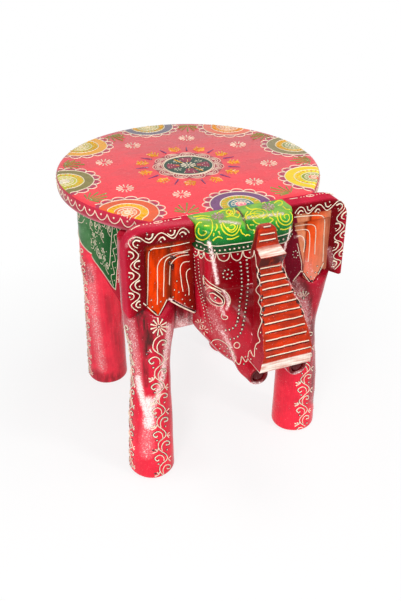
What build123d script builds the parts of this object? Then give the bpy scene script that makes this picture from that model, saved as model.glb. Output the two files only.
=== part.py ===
from build123d import *
import os

# Carved elephant stool, in millimetres.  +Z is up and the elephant looks along -Y.
# The origin lies on the floor, below the middle of the overall box.

# Round seat board
SEAT_TOP = 305.0              # floor to the top of the seat
SEAT_DIAMETER = 290.0
SEAT_THICKNESS = 18.0
SEAT_EDGE_RADIUS = 4.0
SEAT_CUT = 121.0              # seat centre to the flat sawn across its front

# Body block under the seat
BODY_HEIGHT = 115.0
BODY_REAR = 88.0              # seat centre to the rear face
BODY_HALF_WIDTH = 105.0
BODY_WAIST = 2.5              # how far each flank hollows in at mid length
BODY_EDGE_RADIUS = 12.0

# Four posts, each a foot, a waist and a shoulder
LEG_FOOT_RADIUS = 25.5
LEG_FOOT_ROUND = 5.0
LEG_WAIST_RADIUS = 23.0
LEG_WAIST_DROP = 41.0         # below the underside of the body
REAR_LEG_X = 87.0
REAR_LEG_Y = 71.0             # behind the seat centre
REAR_SHOULDER_RADIUS = 24.5
FRONT_LEG_X = 92.0
FRONT_LEG_INSET = 10.0        # leg axis behind the rear face of the ears
FRONT_SHOULDER_RADIUS = 29.0
FRONT_SHOULDER_RISE = 33.0    # full shoulder radius above the underside of the body
SHOULDER_SLOPE_RISE = 23.0    # height of the sloping top of the shoulder, under the ear

# Ears: boards carved with a proud border and two pleats
EAR_THICKNESS = 21.0
EAR_HALF_SPAN = 121.0
EAR_CORNER_RADIUS = 23.0
EAR_EDGE_RADIUS = 4.0
EAR_BORDER = 19.0             # width of the proud border at the outer side
EAR_TOP_BORDER = 20.0
EAR_PLEAT_WIDTH = 27.0
EAR_PLEAT_STEP = 13.0         # inner pleat starts this far below the outer one
EAR_PLEAT_SHALLOW = 3.5
EAR_PLEAT_DEEP = 8.0
EAR_CARVED_CHAMFER = 2.5      # along the front of the carved lower edge
EAR_CORNER_DROP = 94.0        # the carved lower edge, measured down from the seat top
EAR_NOTCH_DROP = 82.0
EAR_TIP_DROP = 103.0
EAR_INNER_NOTCH_DROP = 84.0
EAR_INNER_TIP_DROP = 108.0

# Head block between the ears
HEAD_TOP_HALF_WIDTH = 51.5
HEAD_LOW_HALF_WIDTH = 46.0
FACE_PROUD = 13.0             # face in front of the ears
FACE_CORNER_RADIUS = 11.0
CROWN_PROUD = 2.0
CROWN_DROP = 28.0             # lower edge of the crown, below the seat top
CROWN_ROUND = 7.0
CROWN_NOTCH_WIDTH = 18.0
CROWN_NOTCH_DEPTH = 11.0
NECK_HEIGHT = 66.0            # snout where it leaves the body
CHEEK_REACH = 44.0            # fullest section of the cheeks, ahead of the body
CHEEK_HALF_WIDTH = 41.0
CHEEK_DROP = 6.0              # cheeks hang below the underside of the body
CHEEK_HEIGHT = 70.0
SNOUT_REACH = 75.0            # ears' front face to the front end of the snout
SNOUT_HALF_WIDTH = 22.0
SNOUT_HEIGHT = 29.0
SNOUT_TOP_DROP = 96.0         # top of the snout's front end, below the seat top
SNOUT_CORNER_RADIUS = 9.0

# Tusk sheaths under the cheeks, and the short dark tusks set in them
SHEATH_RADIUS = 10.5
SHEATH_LENGTH = 40.0
SHEATH_PROUD = 12.0           # sheath ends in front of the snout
SHEATH_X = 21.0
SHEATH_DROP = 129.0           # sheath axis below the seat top
SHEATH_ROUND = 2.5
TUSK_RADIUS = 6.2
TUSK_LENGTH = 12.0
TUSK_RECESS = 1.5             # tusk end inside the mouth of the sheath
TUSK_ROUND = 2.5

# Raised trunk
TRUNK_THICKNESS = 27.0        # at the mouth, lip included
TRUNK_RISE = 12.0             # tip above the seat top
TRUNK_MOUTH_HALF_WIDTH = 24.5
TRUNK_NECK_HALF_WIDTH = 12.8
TRUNK_LEDGE_HALF_WIDTH = 13.3
TRUNK_TIP_HALF_WIDTH = 8.0
TRUNK_LEAN = 40.0             # the front leans back this far from mouth to neck
TRUNK_NECK_DROP = 27.0        # neck below the seat top
TRUNK_NECK_DEPTH = 13.0
TRUNK_LEDGE = 13.0            # ledge in front of the neck
TRUNK_LEDGE_HEIGHT = 8.0
TRUNK_LEDGE_SLOPE = 10.0      # top of the ledge rises this much to its back
TRUNK_TIP_SET_BACK = 9.0      # front of the tip behind the front of the neck
TRUNK_TIP_DEPTH = 7.0
LIP_PROUD = 4.0
LIP_DROP = 96.0               # top of the lip below the seat top
LIP_HEIGHT = 18.0

# Hidden beech dowels, glued in blind holes
DOWEL_RADIUS = 4.0
DOWEL_DEPTH = 12.0            # into each of the two pieces it joins
DOWEL_INSET = 40.0            # upper row of dowels, below the seat top
DOWEL_PITCH = 36.0            # spacing of each pair
FIT = 0.1                     # glue line round dowels and tusks
END_GAP = 0.5                 # bottom of a blind hole beyond the dowel's end

# Places that follow from the sizes above
FRONT_REACH = SEAT_CUT + EAR_THICKNESS + SNOUT_REACH + TRUNK_THICKNESS
SEAT_Y = (FRONT_REACH - SEAT_DIAMETER / 2) / 2
EAR_BACK_Y = SEAT_Y - SEAT_CUT
EAR_FRONT_Y = EAR_BACK_Y - EAR_THICKNESS
FACE_Y = EAR_FRONT_Y - FACE_PROUD
SNOUT_Y = EAR_FRONT_Y - SNOUT_REACH
LIP_Y = SNOUT_Y - TRUNK_THICKNESS
SEAT_UNDER = SEAT_TOP - SEAT_THICKNESS
BODY_UNDER = SEAT_UNDER - BODY_HEIGHT
LEG_WAIST_Z = BODY_UNDER - LEG_WAIST_DROP
SHOULDER_Z = BODY_UNDER + FRONT_SHOULDER_RISE
PLEAT_OUTER_X = -EAR_HALF_SPAN + EAR_BORDER
PLEAT_INNER_X = PLEAT_OUTER_X + EAR_PLEAT_WIDTH
PLEAT_INNER_TOP = SEAT_TOP - EAR_TOP_BORDER - EAR_PLEAT_STEP
PLEAT_SIDE_LEAN = ((HEAD_TOP_HALF_WIDTH - HEAD_LOW_HALF_WIDTH)
                   * (SEAT_TOP - PLEAT_INNER_TOP) / EAR_INNER_TIP_DROP)
REAR_LEG = (-REAR_LEG_X, SEAT_Y + REAR_LEG_Y)
FRONT_LEG = (-FRONT_LEG_X, EAR_BACK_Y + FRONT_LEG_INSET)
LEG_AXES = [REAR_LEG, (REAR_LEG_X, REAR_LEG[1]), FRONT_LEG, (FRONT_LEG_X, FRONT_LEG[1])]
DOWEL_ROWS = [SEAT_TOP - DOWEL_INSET, SEAT_TOP - DOWEL_INSET - DOWEL_PITCH]
EAR_DOWELS = [(-EAR_HALF_SPAN + EAR_BORDER / 2, z) for z in DOWEL_ROWS]
SNOUT_TOP = SEAT_TOP - SNOUT_TOP_DROP
LIP_TOP = SEAT_TOP - LIP_DROP
NECK_Y = LIP_Y + LIP_PROUD + TRUNK_LEAN
NECK_Z = SEAT_TOP - TRUNK_NECK_DROP
TIP_Y = NECK_Y + TRUNK_TIP_SET_BACK
TRUNK_DOWEL_Z = SNOUT_TOP - SNOUT_HEIGHT / 2
SHEATH_Z = SEAT_TOP - SHEATH_DROP
CROWN_LOW_HALF_WIDTH = HEAD_TOP_HALF_WIDTH - ((HEAD_TOP_HALF_WIDTH - HEAD_LOW_HALF_WIDTH)
                                              * CROWN_DROP / EAR_INNER_TIP_DROP)
BORE_RADIUS = DOWEL_RADIUS + FIT
BORE_DEPTH = DOWEL_DEPTH + END_GAP

HEAD_DOWELS = [(x, z) for x in (-HEAD_LOW_HALF_WIDTH / 2, HEAD_LOW_HALF_WIDTH / 2)
               for z in DOWEL_ROWS]
SNOUT_SECTIONS = [
    (0, HEAD_LOW_HALF_WIDTH, BODY_UNDER, NECK_HEIGHT),
    (CHEEK_REACH, CHEEK_HALF_WIDTH, BODY_UNDER - CHEEK_DROP, CHEEK_HEIGHT),
    (EAR_THICKNESS + SNOUT_REACH, SNOUT_HALF_WIDTH, SNOUT_TOP - SNOUT_HEIGHT, SNOUT_HEIGHT),
]

# ---------------------------------------------------------------- seat board
# A round board, sawn flat across the front where the ears and the head butt.
with BuildPart() as seat_board:
    with BuildSketch(Plane.XY.offset(SEAT_UNDER)):
        with Locations((0, SEAT_Y)):
            Circle(SEAT_DIAMETER / 2)
        with Locations((0, EAR_BACK_Y)):
            Rectangle(SEAT_DIAMETER, SEAT_DIAMETER, align=(Align.CENTER, Align.MAX),
                      mode=Mode.SUBTRACT)
    extrude(amount=SEAT_THICKNESS)
    fillet(seat_board.edges().filter_by(GeomType.CIRCLE), SEAT_EDGE_RADIUS)
    with Locations(Plane.XY.offset(SEAT_UNDER)):
        with Locations(*LEG_AXES):
            Cylinder(BORE_RADIUS, 2 * BORE_DEPTH, mode=Mode.SUBTRACT)

# ---------------------------------------------------------------- ears
# The left ear is carved from one board; the right ear mirrors it.  The lower edge
# is cut in points, and two pleats fold back towards the head behind the border.
with BuildPart() as ear_left:
    with BuildSketch(Plane.XZ.offset(-EAR_BACK_Y)) as ear_outline:
        with BuildLine():
            Polyline((-HEAD_TOP_HALF_WIDTH, SEAT_TOP),
                     (-EAR_HALF_SPAN, SEAT_TOP),
                     (-EAR_HALF_SPAN, SEAT_TOP - EAR_CORNER_DROP),
                     (PLEAT_OUTER_X, SEAT_TOP - EAR_NOTCH_DROP),
                     ((PLEAT_OUTER_X + PLEAT_INNER_X) / 2, SEAT_TOP - EAR_TIP_DROP),
                     (PLEAT_INNER_X, SEAT_TOP - EAR_INNER_NOTCH_DROP),
                     (-HEAD_LOW_HALF_WIDTH, SEAT_TOP - EAR_INNER_TIP_DROP),
                     close=True)
        make_face()
        fillet(ear_outline.vertices().sort_by(Axis.X)[:2].sort_by(Axis.Y)[-1],
               EAR_CORNER_RADIUS)
    extrude(amount=EAR_THICKNESS)
    # Outer pleat: a slanting floor, deepest at its inner side.
    with BuildSketch(Plane.XY.offset(SEAT_TOP - EAR_TOP_BORDER)):
        with BuildLine():
            Polyline((PLEAT_OUTER_X, EAR_FRONT_Y - 1),
                     (PLEAT_OUTER_X, EAR_FRONT_Y + EAR_PLEAT_SHALLOW),
                     (PLEAT_INNER_X, EAR_FRONT_Y + EAR_PLEAT_DEEP),
                     (-HEAD_LOW_HALF_WIDTH, EAR_FRONT_Y + EAR_PLEAT_DEEP),
                     (-HEAD_LOW_HALF_WIDTH, EAR_FRONT_Y - 1),
                     close=True)
        make_face()
    extrude(amount=-EAR_INNER_TIP_DROP, mode=Mode.SUBTRACT)
    # Inner pleat: stands proud at its outer side and slants back towards the head.
    with BuildSketch(Plane.XZ.offset(-EAR_FRONT_Y)):
        with BuildLine():
            Polyline((-HEAD_TOP_HALF_WIDTH + PLEAT_SIDE_LEAN, PLEAT_INNER_TOP),
                     (PLEAT_INNER_X, PLEAT_INNER_TOP),
                     (PLEAT_INNER_X, SEAT_TOP - EAR_INNER_NOTCH_DROP),
                     (-HEAD_LOW_HALF_WIDTH, SEAT_TOP - EAR_INNER_TIP_DROP),
                     close=True)
        make_face()
    extrude(amount=-EAR_PLEAT_DEEP)
    with BuildSketch(Plane.XY.offset(PLEAT_INNER_TOP)):
        with BuildLine():
            Polyline((PLEAT_INNER_X, EAR_FRONT_Y - 1),
                     (PLEAT_INNER_X, EAR_FRONT_Y + EAR_PLEAT_SHALLOW),
                     (-HEAD_LOW_HALF_WIDTH, EAR_FRONT_Y + EAR_PLEAT_DEEP),
                     (-HEAD_LOW_HALF_WIDTH, EAR_FRONT_Y - 1),
                     close=True)
        make_face()
    extrude(amount=-EAR_INNER_TIP_DROP, mode=Mode.SUBTRACT)
    fillet(ear_left.edges().group_by(Axis.Z)[-1].group_by(Axis.Y)[0]
           + ear_left.edges().filter_by(GeomType.CIRCLE).group_by(Axis.Y)[0]
           + ear_left.edges().filter_by(Axis.Z).group_by(Axis.X)[0].group_by(Axis.Y)[0],
           EAR_EDGE_RADIUS)
    carved_edges = ear_left.edges().filter_by(
        lambda e: e.center().Y < EAR_FRONT_Y + EAR_PLEAT_DEEP + 1
        and e.center().Z < SEAT_TOP - EAR_NOTCH_DROP
        and abs((e % 0.5).X) > 0.2)
    chamfer(carved_edges, EAR_CARVED_CHAMFER)
    with Locations(Plane.XZ.offset(-EAR_BACK_Y)):
        with Locations(*EAR_DOWELS):
            Cylinder(BORE_RADIUS, 2 * BORE_DEPTH, mode=Mode.SUBTRACT)

with BuildPart() as ear_right:
    mirror(ear_left.part, about=Plane.YZ)

# ---------------------------------------------------------------- legs
# Posts that run from the floor to the underside of the seat.  The front ones swell
# into shoulders, slope back under the ears and stand flat behind them.
with BuildPart() as leg_front_left:
    with BuildSketch(Plane((*FRONT_LEG, 0), x_dir=(1, 0, 0), z_dir=(0, -1, 0))):
        with BuildLine():
            shank = Line((LEG_FOOT_RADIUS, 0), (LEG_WAIST_RADIUS, LEG_WAIST_Z))
            swell = Spline(shank @ 1, (FRONT_SHOULDER_RADIUS, SHOULDER_Z),
                           tangents=(shank % 1, (0, 1)))
            Polyline(swell @ 1, (FRONT_SHOULDER_RADIUS, SEAT_UNDER), (0, SEAT_UNDER),
                     (0, 0), shank @ 0)
        make_face()
    revolve(axis=Axis((*FRONT_LEG, 0), (0, 0, 1)))
    fillet(leg_front_left.edges().group_by(Axis.Z)[0], LEG_FOOT_ROUND)
    with BuildSketch(Plane.YZ.offset(-FRONT_LEG_X)):
        with BuildLine():
            Polyline((EAR_BACK_Y, SEAT_TOP),
                     (EAR_BACK_Y, SHOULDER_Z + SHOULDER_SLOPE_RISE),
                     (FRONT_LEG[1] - FRONT_SHOULDER_RADIUS, SHOULDER_Z),
                     (FRONT_LEG[1] - 2 * FRONT_SHOULDER_RADIUS, SHOULDER_Z),
                     (FRONT_LEG[1] - 2 * FRONT_SHOULDER_RADIUS, SEAT_TOP),
                     close=True)
        make_face()
    extrude(amount=2 * FRONT_SHOULDER_RADIUS, both=True, mode=Mode.SUBTRACT)
    add(ear_left.part, mode=Mode.SUBTRACT)
    with Locations((*FRONT_LEG, SEAT_UNDER)):
        Cylinder(BORE_RADIUS, 2 * BORE_DEPTH, mode=Mode.SUBTRACT)
    with Locations(Plane.XZ.offset(-EAR_BACK_Y)):
        with Locations(*EAR_DOWELS):
            Cylinder(BORE_RADIUS, 2 * BORE_DEPTH, mode=Mode.SUBTRACT)
    with Locations(Plane.YZ.offset(-FRONT_LEG_X + FRONT_SHOULDER_RADIUS)):
        with Locations(*[(FRONT_LEG[1], z) for z in DOWEL_ROWS]):
            Cylinder(BORE_RADIUS, 2 * BORE_DEPTH, mode=Mode.SUBTRACT)

with BuildPart() as leg_front_right:
    mirror(leg_front_left.part, about=Plane.YZ)

with BuildPart() as leg_rear_left:
    with BuildSketch(Plane((*REAR_LEG, 0), x_dir=(1, 0, 0), z_dir=(0, -1, 0))):
        with BuildLine():
            shank = Line((LEG_FOOT_RADIUS, 0), (LEG_WAIST_RADIUS, LEG_WAIST_Z))
            swell = Spline(shank @ 1, (REAR_SHOULDER_RADIUS, BODY_UNDER),
                           tangents=(shank % 1, (0, 1)))
            Polyline(swell @ 1, (REAR_SHOULDER_RADIUS, SEAT_UNDER), (0, SEAT_UNDER),
                     (0, 0), shank @ 0)
        make_face()
    revolve(axis=Axis((*REAR_LEG, 0), (0, 0, 1)))
    fillet(leg_rear_left.edges().group_by(Axis.Z)[0], LEG_FOOT_ROUND)
    with Locations((*REAR_LEG, SEAT_UNDER)):
        Cylinder(BORE_RADIUS, 2 * BORE_DEPTH, mode=Mode.SUBTRACT)
    with Locations(Plane.YZ.offset(-REAR_LEG_X + REAR_SHOULDER_RADIUS)):
        with Locations(*[(REAR_LEG[1], z) for z in DOWEL_ROWS]):
            Cylinder(BORE_RADIUS, 2 * BORE_DEPTH, mode=Mode.SUBTRACT)

with BuildPart() as leg_rear_right:
    mirror(leg_rear_left.part, about=Plane.YZ)

# ---------------------------------------------------------------- body block
# A solid block between the posts, notched and coved at each corner to take them.
with BuildPart() as body_block:
    with BuildSketch(Plane.XY.offset(BODY_UNDER)):
        with BuildLine():
            flank = ThreePointArc((-BODY_HALF_WIDTH, SEAT_Y + BODY_REAR),
                                  (-BODY_HALF_WIDTH + BODY_WAIST,
                                   (SEAT_Y + BODY_REAR + EAR_BACK_Y) / 2),
                                  (-BODY_HALF_WIDTH, EAR_BACK_Y))
            Polyline((0, SEAT_Y + BODY_REAR), flank @ 0)
            Polyline(flank @ 1, (0, EAR_BACK_Y))
            mirror(about=Plane.YZ)
        make_face()
    extrude(amount=BODY_HEIGHT)
    fillet(body_block.faces().sort_by(Axis.Z)[0].edges(), BODY_EDGE_RADIUS)
    with Locations((*REAR_LEG, BODY_UNDER)):
        Box(SEAT_DIAMETER, SEAT_DIAMETER, BODY_HEIGHT, align=(Align.MAX, Align.MIN, Align.MIN),
            mode=Mode.SUBTRACT)
    with Locations((*FRONT_LEG, BODY_UNDER)):
        Box(SEAT_DIAMETER, SEAT_DIAMETER, BODY_HEIGHT, align=(Align.MAX, Align.MAX, Align.MIN),
            mode=Mode.SUBTRACT)
    for leg in (leg_front_left, leg_rear_left):
        add(leg.part, mode=Mode.SUBTRACT)
    with Locations(Plane.YZ.offset(-REAR_LEG_X + REAR_SHOULDER_RADIUS)):
        with Locations(*[(REAR_LEG[1], z) for z in DOWEL_ROWS]):
            Cylinder(BORE_RADIUS, 2 * BORE_DEPTH, mode=Mode.SUBTRACT)
    with Locations(Plane.YZ.offset(-FRONT_LEG_X + FRONT_SHOULDER_RADIUS)):
        with Locations(*[(FRONT_LEG[1], z) for z in DOWEL_ROWS]):
            Cylinder(BORE_RADIUS, 2 * BORE_DEPTH, mode=Mode.SUBTRACT)
    with Locations(Plane.XY.offset(SEAT_UNDER)):
        with Locations(*LEG_AXES):
            Cylinder(BORE_RADIUS, 2 * BORE_DEPTH, mode=Mode.SUBTRACT)
    split(bisect_by=Plane.YZ, keep=Keep.BOTTOM)
    mirror(about=Plane.YZ)
    with Locations(Plane.XZ.offset(-EAR_BACK_Y)):
        with Locations(*HEAD_DOWELS):
            Cylinder(BORE_RADIUS, 2 * BORE_DEPTH, mode=Mode.SUBTRACT)

# ---------------------------------------------------------------- head block
# Forehead and crown between the ears, with the snout and the tusk sheaths below,
# all carved from one block.
with BuildPart() as head_block:
    with BuildSketch(Plane.XZ.offset(-EAR_BACK_Y)):
        with BuildLine():
            Polyline((-HEAD_TOP_HALF_WIDTH, SEAT_TOP), (HEAD_TOP_HALF_WIDTH, SEAT_TOP),
                     (HEAD_LOW_HALF_WIDTH, SEAT_TOP - EAR_INNER_TIP_DROP),
                     (-HEAD_LOW_HALF_WIDTH, SEAT_TOP - EAR_INNER_TIP_DROP), close=True)
        make_face()
    extrude(amount=EAR_THICKNESS + FACE_PROUD)
    fillet(head_block.edges().group_by(Axis.Y)[0].filter_by(lambda e: abs((e % 0.5).Z) > 0.9),
           FACE_CORNER_RADIUS)
    # Snout: from the neck, out over the cheeks, to the narrow front end.
    for depth, half_width, under, height in SNOUT_SECTIONS:
        with BuildSketch(Plane.XZ.offset(depth - EAR_BACK_Y)):
            with Locations((0, under + height / 2)):
                RectangleRounded(2 * half_width, height, SNOUT_CORNER_RADIUS)
    loft()
    # Crown: stands a little proud over the forehead, rounded in front and notched
    # into two lobes.
    with BuildSketch(Plane.XZ.offset(EAR_THICKNESS - EAR_BACK_Y)):
        with BuildLine():
            Polyline((-HEAD_TOP_HALF_WIDTH, SEAT_TOP), (HEAD_TOP_HALF_WIDTH, SEAT_TOP),
                     (CROWN_LOW_HALF_WIDTH, SEAT_TOP - CROWN_DROP),
                     (-CROWN_LOW_HALF_WIDTH, SEAT_TOP - CROWN_DROP), close=True)
        make_face()
    extrude(amount=FACE_PROUD + CROWN_PROUD)
    fillet(head_block.edges().group_by(Axis.Y)[0].filter_by(lambda e: abs((e % 0.5).Z) > 0.9),
           FACE_CORNER_RADIUS)
    crown_top = head_block.faces().sort_by(Axis.Z)[-1]
    fillet(crown_top.edges().group_by(Axis.Y)[0], CROWN_ROUND)
    with BuildSketch(Plane.XZ.offset(-FACE_Y + CROWN_PROUD)):
        with BuildLine():
            Polyline((-CROWN_NOTCH_WIDTH / 2, SEAT_TOP + 1),
                     (CROWN_NOTCH_WIDTH / 2, SEAT_TOP + 1),
                     (0, SEAT_TOP - CROWN_NOTCH_DEPTH), close=True)
        make_face()
    extrude(amount=FACE_PROUD + EAR_THICKNESS, dir=(0, 1, 0.5), mode=Mode.SUBTRACT)
    # Tusk sheaths: round tubes hanging under the cheeks.
    with BuildSketch(Plane.XZ.offset(SHEATH_PROUD - SNOUT_Y)):
        with Locations((-SHEATH_X, SHEATH_Z), (SHEATH_X, SHEATH_Z)):
            Circle(SHEATH_RADIUS)
    extrude(amount=-SHEATH_LENGTH)
    fillet(head_block.edges().filter_by(GeomType.CIRCLE).group_by(Axis.Y)[0], SHEATH_ROUND)
    with Locations(Plane.XZ.offset(SHEATH_PROUD - SNOUT_Y)):
        with Locations((-SHEATH_X, SHEATH_Z), (SHEATH_X, SHEATH_Z)):
            Cylinder(TUSK_RADIUS + FIT, 2 * (TUSK_RECESS + TUSK_LENGTH), mode=Mode.SUBTRACT)
    with Locations(Plane.XZ.offset(-EAR_BACK_Y)):
        with Locations(*HEAD_DOWELS):
            Cylinder(BORE_RADIUS, 2 * BORE_DEPTH, mode=Mode.SUBTRACT)
    with Locations(Plane.XZ.offset(-SNOUT_Y)):
        with Locations((0, TRUNK_DOWEL_Z)):
            Cylinder(BORE_RADIUS, 2 * BORE_DEPTH, mode=Mode.SUBTRACT)

# ---------------------------------------------------------------- trunk
# Raised in front of the forehead: wide and deep at the mouth, a pale lip below,
# a stepped ledge under the narrow tip.
with BuildPart() as trunk:
    with BuildSketch(Plane.YZ):
        with BuildLine():
            Polyline((SNOUT_Y, LIP_TOP - LIP_HEIGHT),
                     (LIP_Y, LIP_TOP - LIP_HEIGHT),
                     (LIP_Y, LIP_TOP),
                     (LIP_Y + LIP_PROUD, LIP_TOP + LIP_PROUD),
                     (NECK_Y, NECK_Z),
                     (NECK_Y - TRUNK_LEDGE, NECK_Z + TRUNK_LEDGE_HEIGHT),
                     (NECK_Y, NECK_Z + TRUNK_LEDGE_HEIGHT + TRUNK_LEDGE_SLOPE),
                     (TIP_Y, SEAT_TOP + TRUNK_RISE),
                     (TIP_Y + TRUNK_TIP_DEPTH, SEAT_TOP + TRUNK_RISE),
                     (NECK_Y + TRUNK_NECK_DEPTH, NECK_Z),
                     (SNOUT_Y, LIP_TOP + LIP_PROUD), close=True)
        make_face()
    extrude(amount=TRUNK_MOUTH_HALF_WIDTH, both=True)
    with BuildSketch(Plane.XZ.offset(-SNOUT_Y)):
        with BuildLine():
            side = Spline((TRUNK_MOUTH_HALF_WIDTH, LIP_TOP), (TRUNK_NECK_HALF_WIDTH, NECK_Z),
                          tangents=((0, 1), (-0.15, 1)), tangent_scalars=(0.8, 1.2))
            Polyline((0, LIP_TOP - LIP_HEIGHT),
                     (TRUNK_MOUTH_HALF_WIDTH, LIP_TOP - LIP_HEIGHT), side @ 0)
            Polyline(side @ 1, (TRUNK_LEDGE_HALF_WIDTH, NECK_Z + TRUNK_LEDGE_HEIGHT),
                     (TRUNK_TIP_HALF_WIDTH, SEAT_TOP + TRUNK_RISE), (0, SEAT_TOP + TRUNK_RISE))
            mirror(about=Plane.YZ)
        make_face()
    extrude(amount=TRUNK_THICKNESS + TRUNK_LEAN, both=True, mode=Mode.INTERSECT)
    with Locations(Plane.XZ.offset(-SNOUT_Y)):
        with Locations((0, TRUNK_DOWEL_Z)):
            Cylinder(BORE_RADIUS, 2 * BORE_DEPTH, mode=Mode.SUBTRACT)

# ---------------------------------------------------------------- tusks
# Short turned stubs set back in the sheaths.
with BuildPart() as tusk_left:
    with BuildSketch(Plane.XZ.offset(SHEATH_PROUD - TUSK_RECESS - SNOUT_Y)):
        with Locations((-SHEATH_X, SHEATH_Z)):
            Circle(TUSK_RADIUS)
    extrude(amount=-TUSK_LENGTH)
    fillet(tusk_left.edges().group_by(Axis.Y)[0], TUSK_ROUND)

with BuildPart() as tusk_right:
    mirror(tusk_left.part, about=Plane.YZ)

# ---------------------------------------------------------------- dowels
with BuildPart() as seat_dowels:
    with Locations(Plane.XY.offset(SEAT_UNDER)):
        with Locations(*LEG_AXES):
            Cylinder(DOWEL_RADIUS, 2 * DOWEL_DEPTH)

with BuildPart() as leg_dowels:
    for leg_x, leg_y, shoulder in ((REAR_LEG_X, REAR_LEG[1], REAR_SHOULDER_RADIUS),
                                   (FRONT_LEG_X, FRONT_LEG[1], FRONT_SHOULDER_RADIUS)):
        for side_x in (shoulder - leg_x, leg_x - shoulder):
            with Locations(Plane.YZ.offset(side_x)):
                with Locations(*[(leg_y, z) for z in DOWEL_ROWS]):
                    Cylinder(DOWEL_RADIUS, 2 * DOWEL_DEPTH)

with BuildPart() as ear_dowels:
    with Locations(Plane.XZ.offset(-EAR_BACK_Y)):
        with Locations(*EAR_DOWELS, *[(-x, z) for x, z in EAR_DOWELS]):
            Cylinder(DOWEL_RADIUS, 2 * DOWEL_DEPTH)

with BuildPart() as head_dowels:
    with Locations(Plane.XZ.offset(-EAR_BACK_Y)):
        with Locations(*HEAD_DOWELS):
            Cylinder(DOWEL_RADIUS, 2 * DOWEL_DEPTH)

with BuildPart() as trunk_dowel:
    with Locations(Plane.XZ.offset(-SNOUT_Y)):
        with Locations((0, TRUNK_DOWEL_Z)):
            Cylinder(DOWEL_RADIUS, 2 * DOWEL_DEPTH)

# ---------------------------------------------------------------- labels and files
os.makedirs("parts", exist_ok=True)

seat_board.part.label = "seat_board"
body_block.part.label = "body_block"
leg_front_left.part.label = "leg_front_left"
leg_front_right.part.label = "leg_front_right"
leg_rear_left.part.label = "leg_rear_left"
leg_rear_right.part.label = "leg_rear_right"
ear_left.part.label = "ear_left"
ear_right.part.label = "ear_right"
head_block.part.label = "head_block"
trunk.part.label = "trunk"
tusk_left.part.label = "tusk_left"
tusk_right.part.label = "tusk_right"
seat_dowels.part.label = "seat_dowels"
leg_dowels.part.label = "leg_dowels"
ear_dowels.part.label = "ear_dowels"
head_dowels.part.label = "head_dowels"
trunk_dowel.part.label = "trunk_dowel"

export_step(seat_board.part, "parts/seat_board.step")
export_step(body_block.part, "parts/body_block.step")
export_step(leg_front_left.part, "parts/leg_front_left.step")
export_step(leg_front_right.part, "parts/leg_front_right.step")
export_step(leg_rear_left.part, "parts/leg_rear_left.step")
export_step(leg_rear_right.part, "parts/leg_rear_right.step")
export_step(ear_left.part, "parts/ear_left.step")
export_step(ear_right.part, "parts/ear_right.step")
export_step(head_block.part, "parts/head_block.step")
export_step(trunk.part, "parts/trunk.step")
export_step(tusk_left.part, "parts/tusk_left.step")
export_step(tusk_right.part, "parts/tusk_right.step")
export_step(seat_dowels.part, "parts/seat_dowels.step")
export_step(leg_dowels.part, "parts/leg_dowels.step")
export_step(ear_dowels.part, "parts/ear_dowels.step")
export_step(head_dowels.part, "parts/head_dowels.step")
export_step(trunk_dowel.part, "parts/trunk_dowel.step")
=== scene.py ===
import math

import bmesh
import bpy
from mathutils import Matrix, Vector, noise
from mathutils.bvhtree import BVHTree


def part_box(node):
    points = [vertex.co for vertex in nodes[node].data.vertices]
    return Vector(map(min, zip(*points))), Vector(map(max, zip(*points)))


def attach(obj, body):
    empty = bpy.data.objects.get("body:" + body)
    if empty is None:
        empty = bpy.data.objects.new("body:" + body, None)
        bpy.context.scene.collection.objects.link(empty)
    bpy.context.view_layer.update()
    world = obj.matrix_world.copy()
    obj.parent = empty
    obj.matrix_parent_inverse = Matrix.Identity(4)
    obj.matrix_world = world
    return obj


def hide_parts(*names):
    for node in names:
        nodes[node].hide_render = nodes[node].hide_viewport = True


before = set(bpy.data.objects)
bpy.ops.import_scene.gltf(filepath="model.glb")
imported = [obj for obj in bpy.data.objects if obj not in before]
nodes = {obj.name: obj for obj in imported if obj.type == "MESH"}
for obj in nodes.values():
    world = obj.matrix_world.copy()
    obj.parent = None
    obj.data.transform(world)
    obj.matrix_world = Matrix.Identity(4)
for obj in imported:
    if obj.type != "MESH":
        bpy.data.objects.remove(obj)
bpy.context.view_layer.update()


# ---------------------------------------------------------------- studio
# The stool stands on a white sheet in a plain studio: a big soft box high on the left, strip
# boxes that draw the long highlights down the lacquered posts, and a weak fill on the right.
CAMERA_PLACE = (-0.32303, -0.73975, 0.63595)
CAMERA_RIGHT = (0.92005, -0.39177, 0.00490)
CAMERA_UP = (0.19583, 0.47065, 0.86031)
CAMERA_BACK = (-0.33935, -0.79057, 0.50975)
CAMERA_LENS = 48.76
PICTURE_WIDTH, PICTURE_HEIGHT = 401, 601
SHEET_SIZE = 8.0
SURROUND_LIGHT = 0.3
SHADOW_REACH, SHADOW_CLEARED = (0.22, 0.5), 0.82  # the shadow fades out between these distances
SOFT_BOXES = (
    # name, place, aimed at, width, height, power in watts
    ("key_box", (-0.95, -1.25, 1.15), (0.0, 0.0, 0.2), 0.35, 0.35, 13.5),
    ("top_box", (0.0, -0.3, 1.9), (0.0, 0.0, 0.25), 0.7, 0.7, 8.5),
    ("crown_box", (0.52, -0.84, 1.5), (0.0, -0.1, 0.3), 0.22, 0.22, 7.5),
    ("low_strip", (-0.46, -0.44, 0.16), (-0.05, -0.1, 0.2), 0.015, 0.3, 0.3),
    ("post_strip", (-0.95, -0.75, 0.2), (-0.09, -0.06, 0.12), 0.05, 0.38, 1.6),
    ("fill_box", (1.3, -0.75, 0.7), (0.0, 0.0, 0.2), 0.5, 0.9, 3.5),
)


def linear(code):
    """An sRGB hex colour as the linear numbers that a shader takes."""
    parts = [int(code[i:i + 2], 16) / 255 for i in (1, 3, 5)]
    return [p / 12.92 if p <= 0.04045 else ((p + 0.055) / 1.055) ** 2.4 for p in parts] + [1.0]


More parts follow.
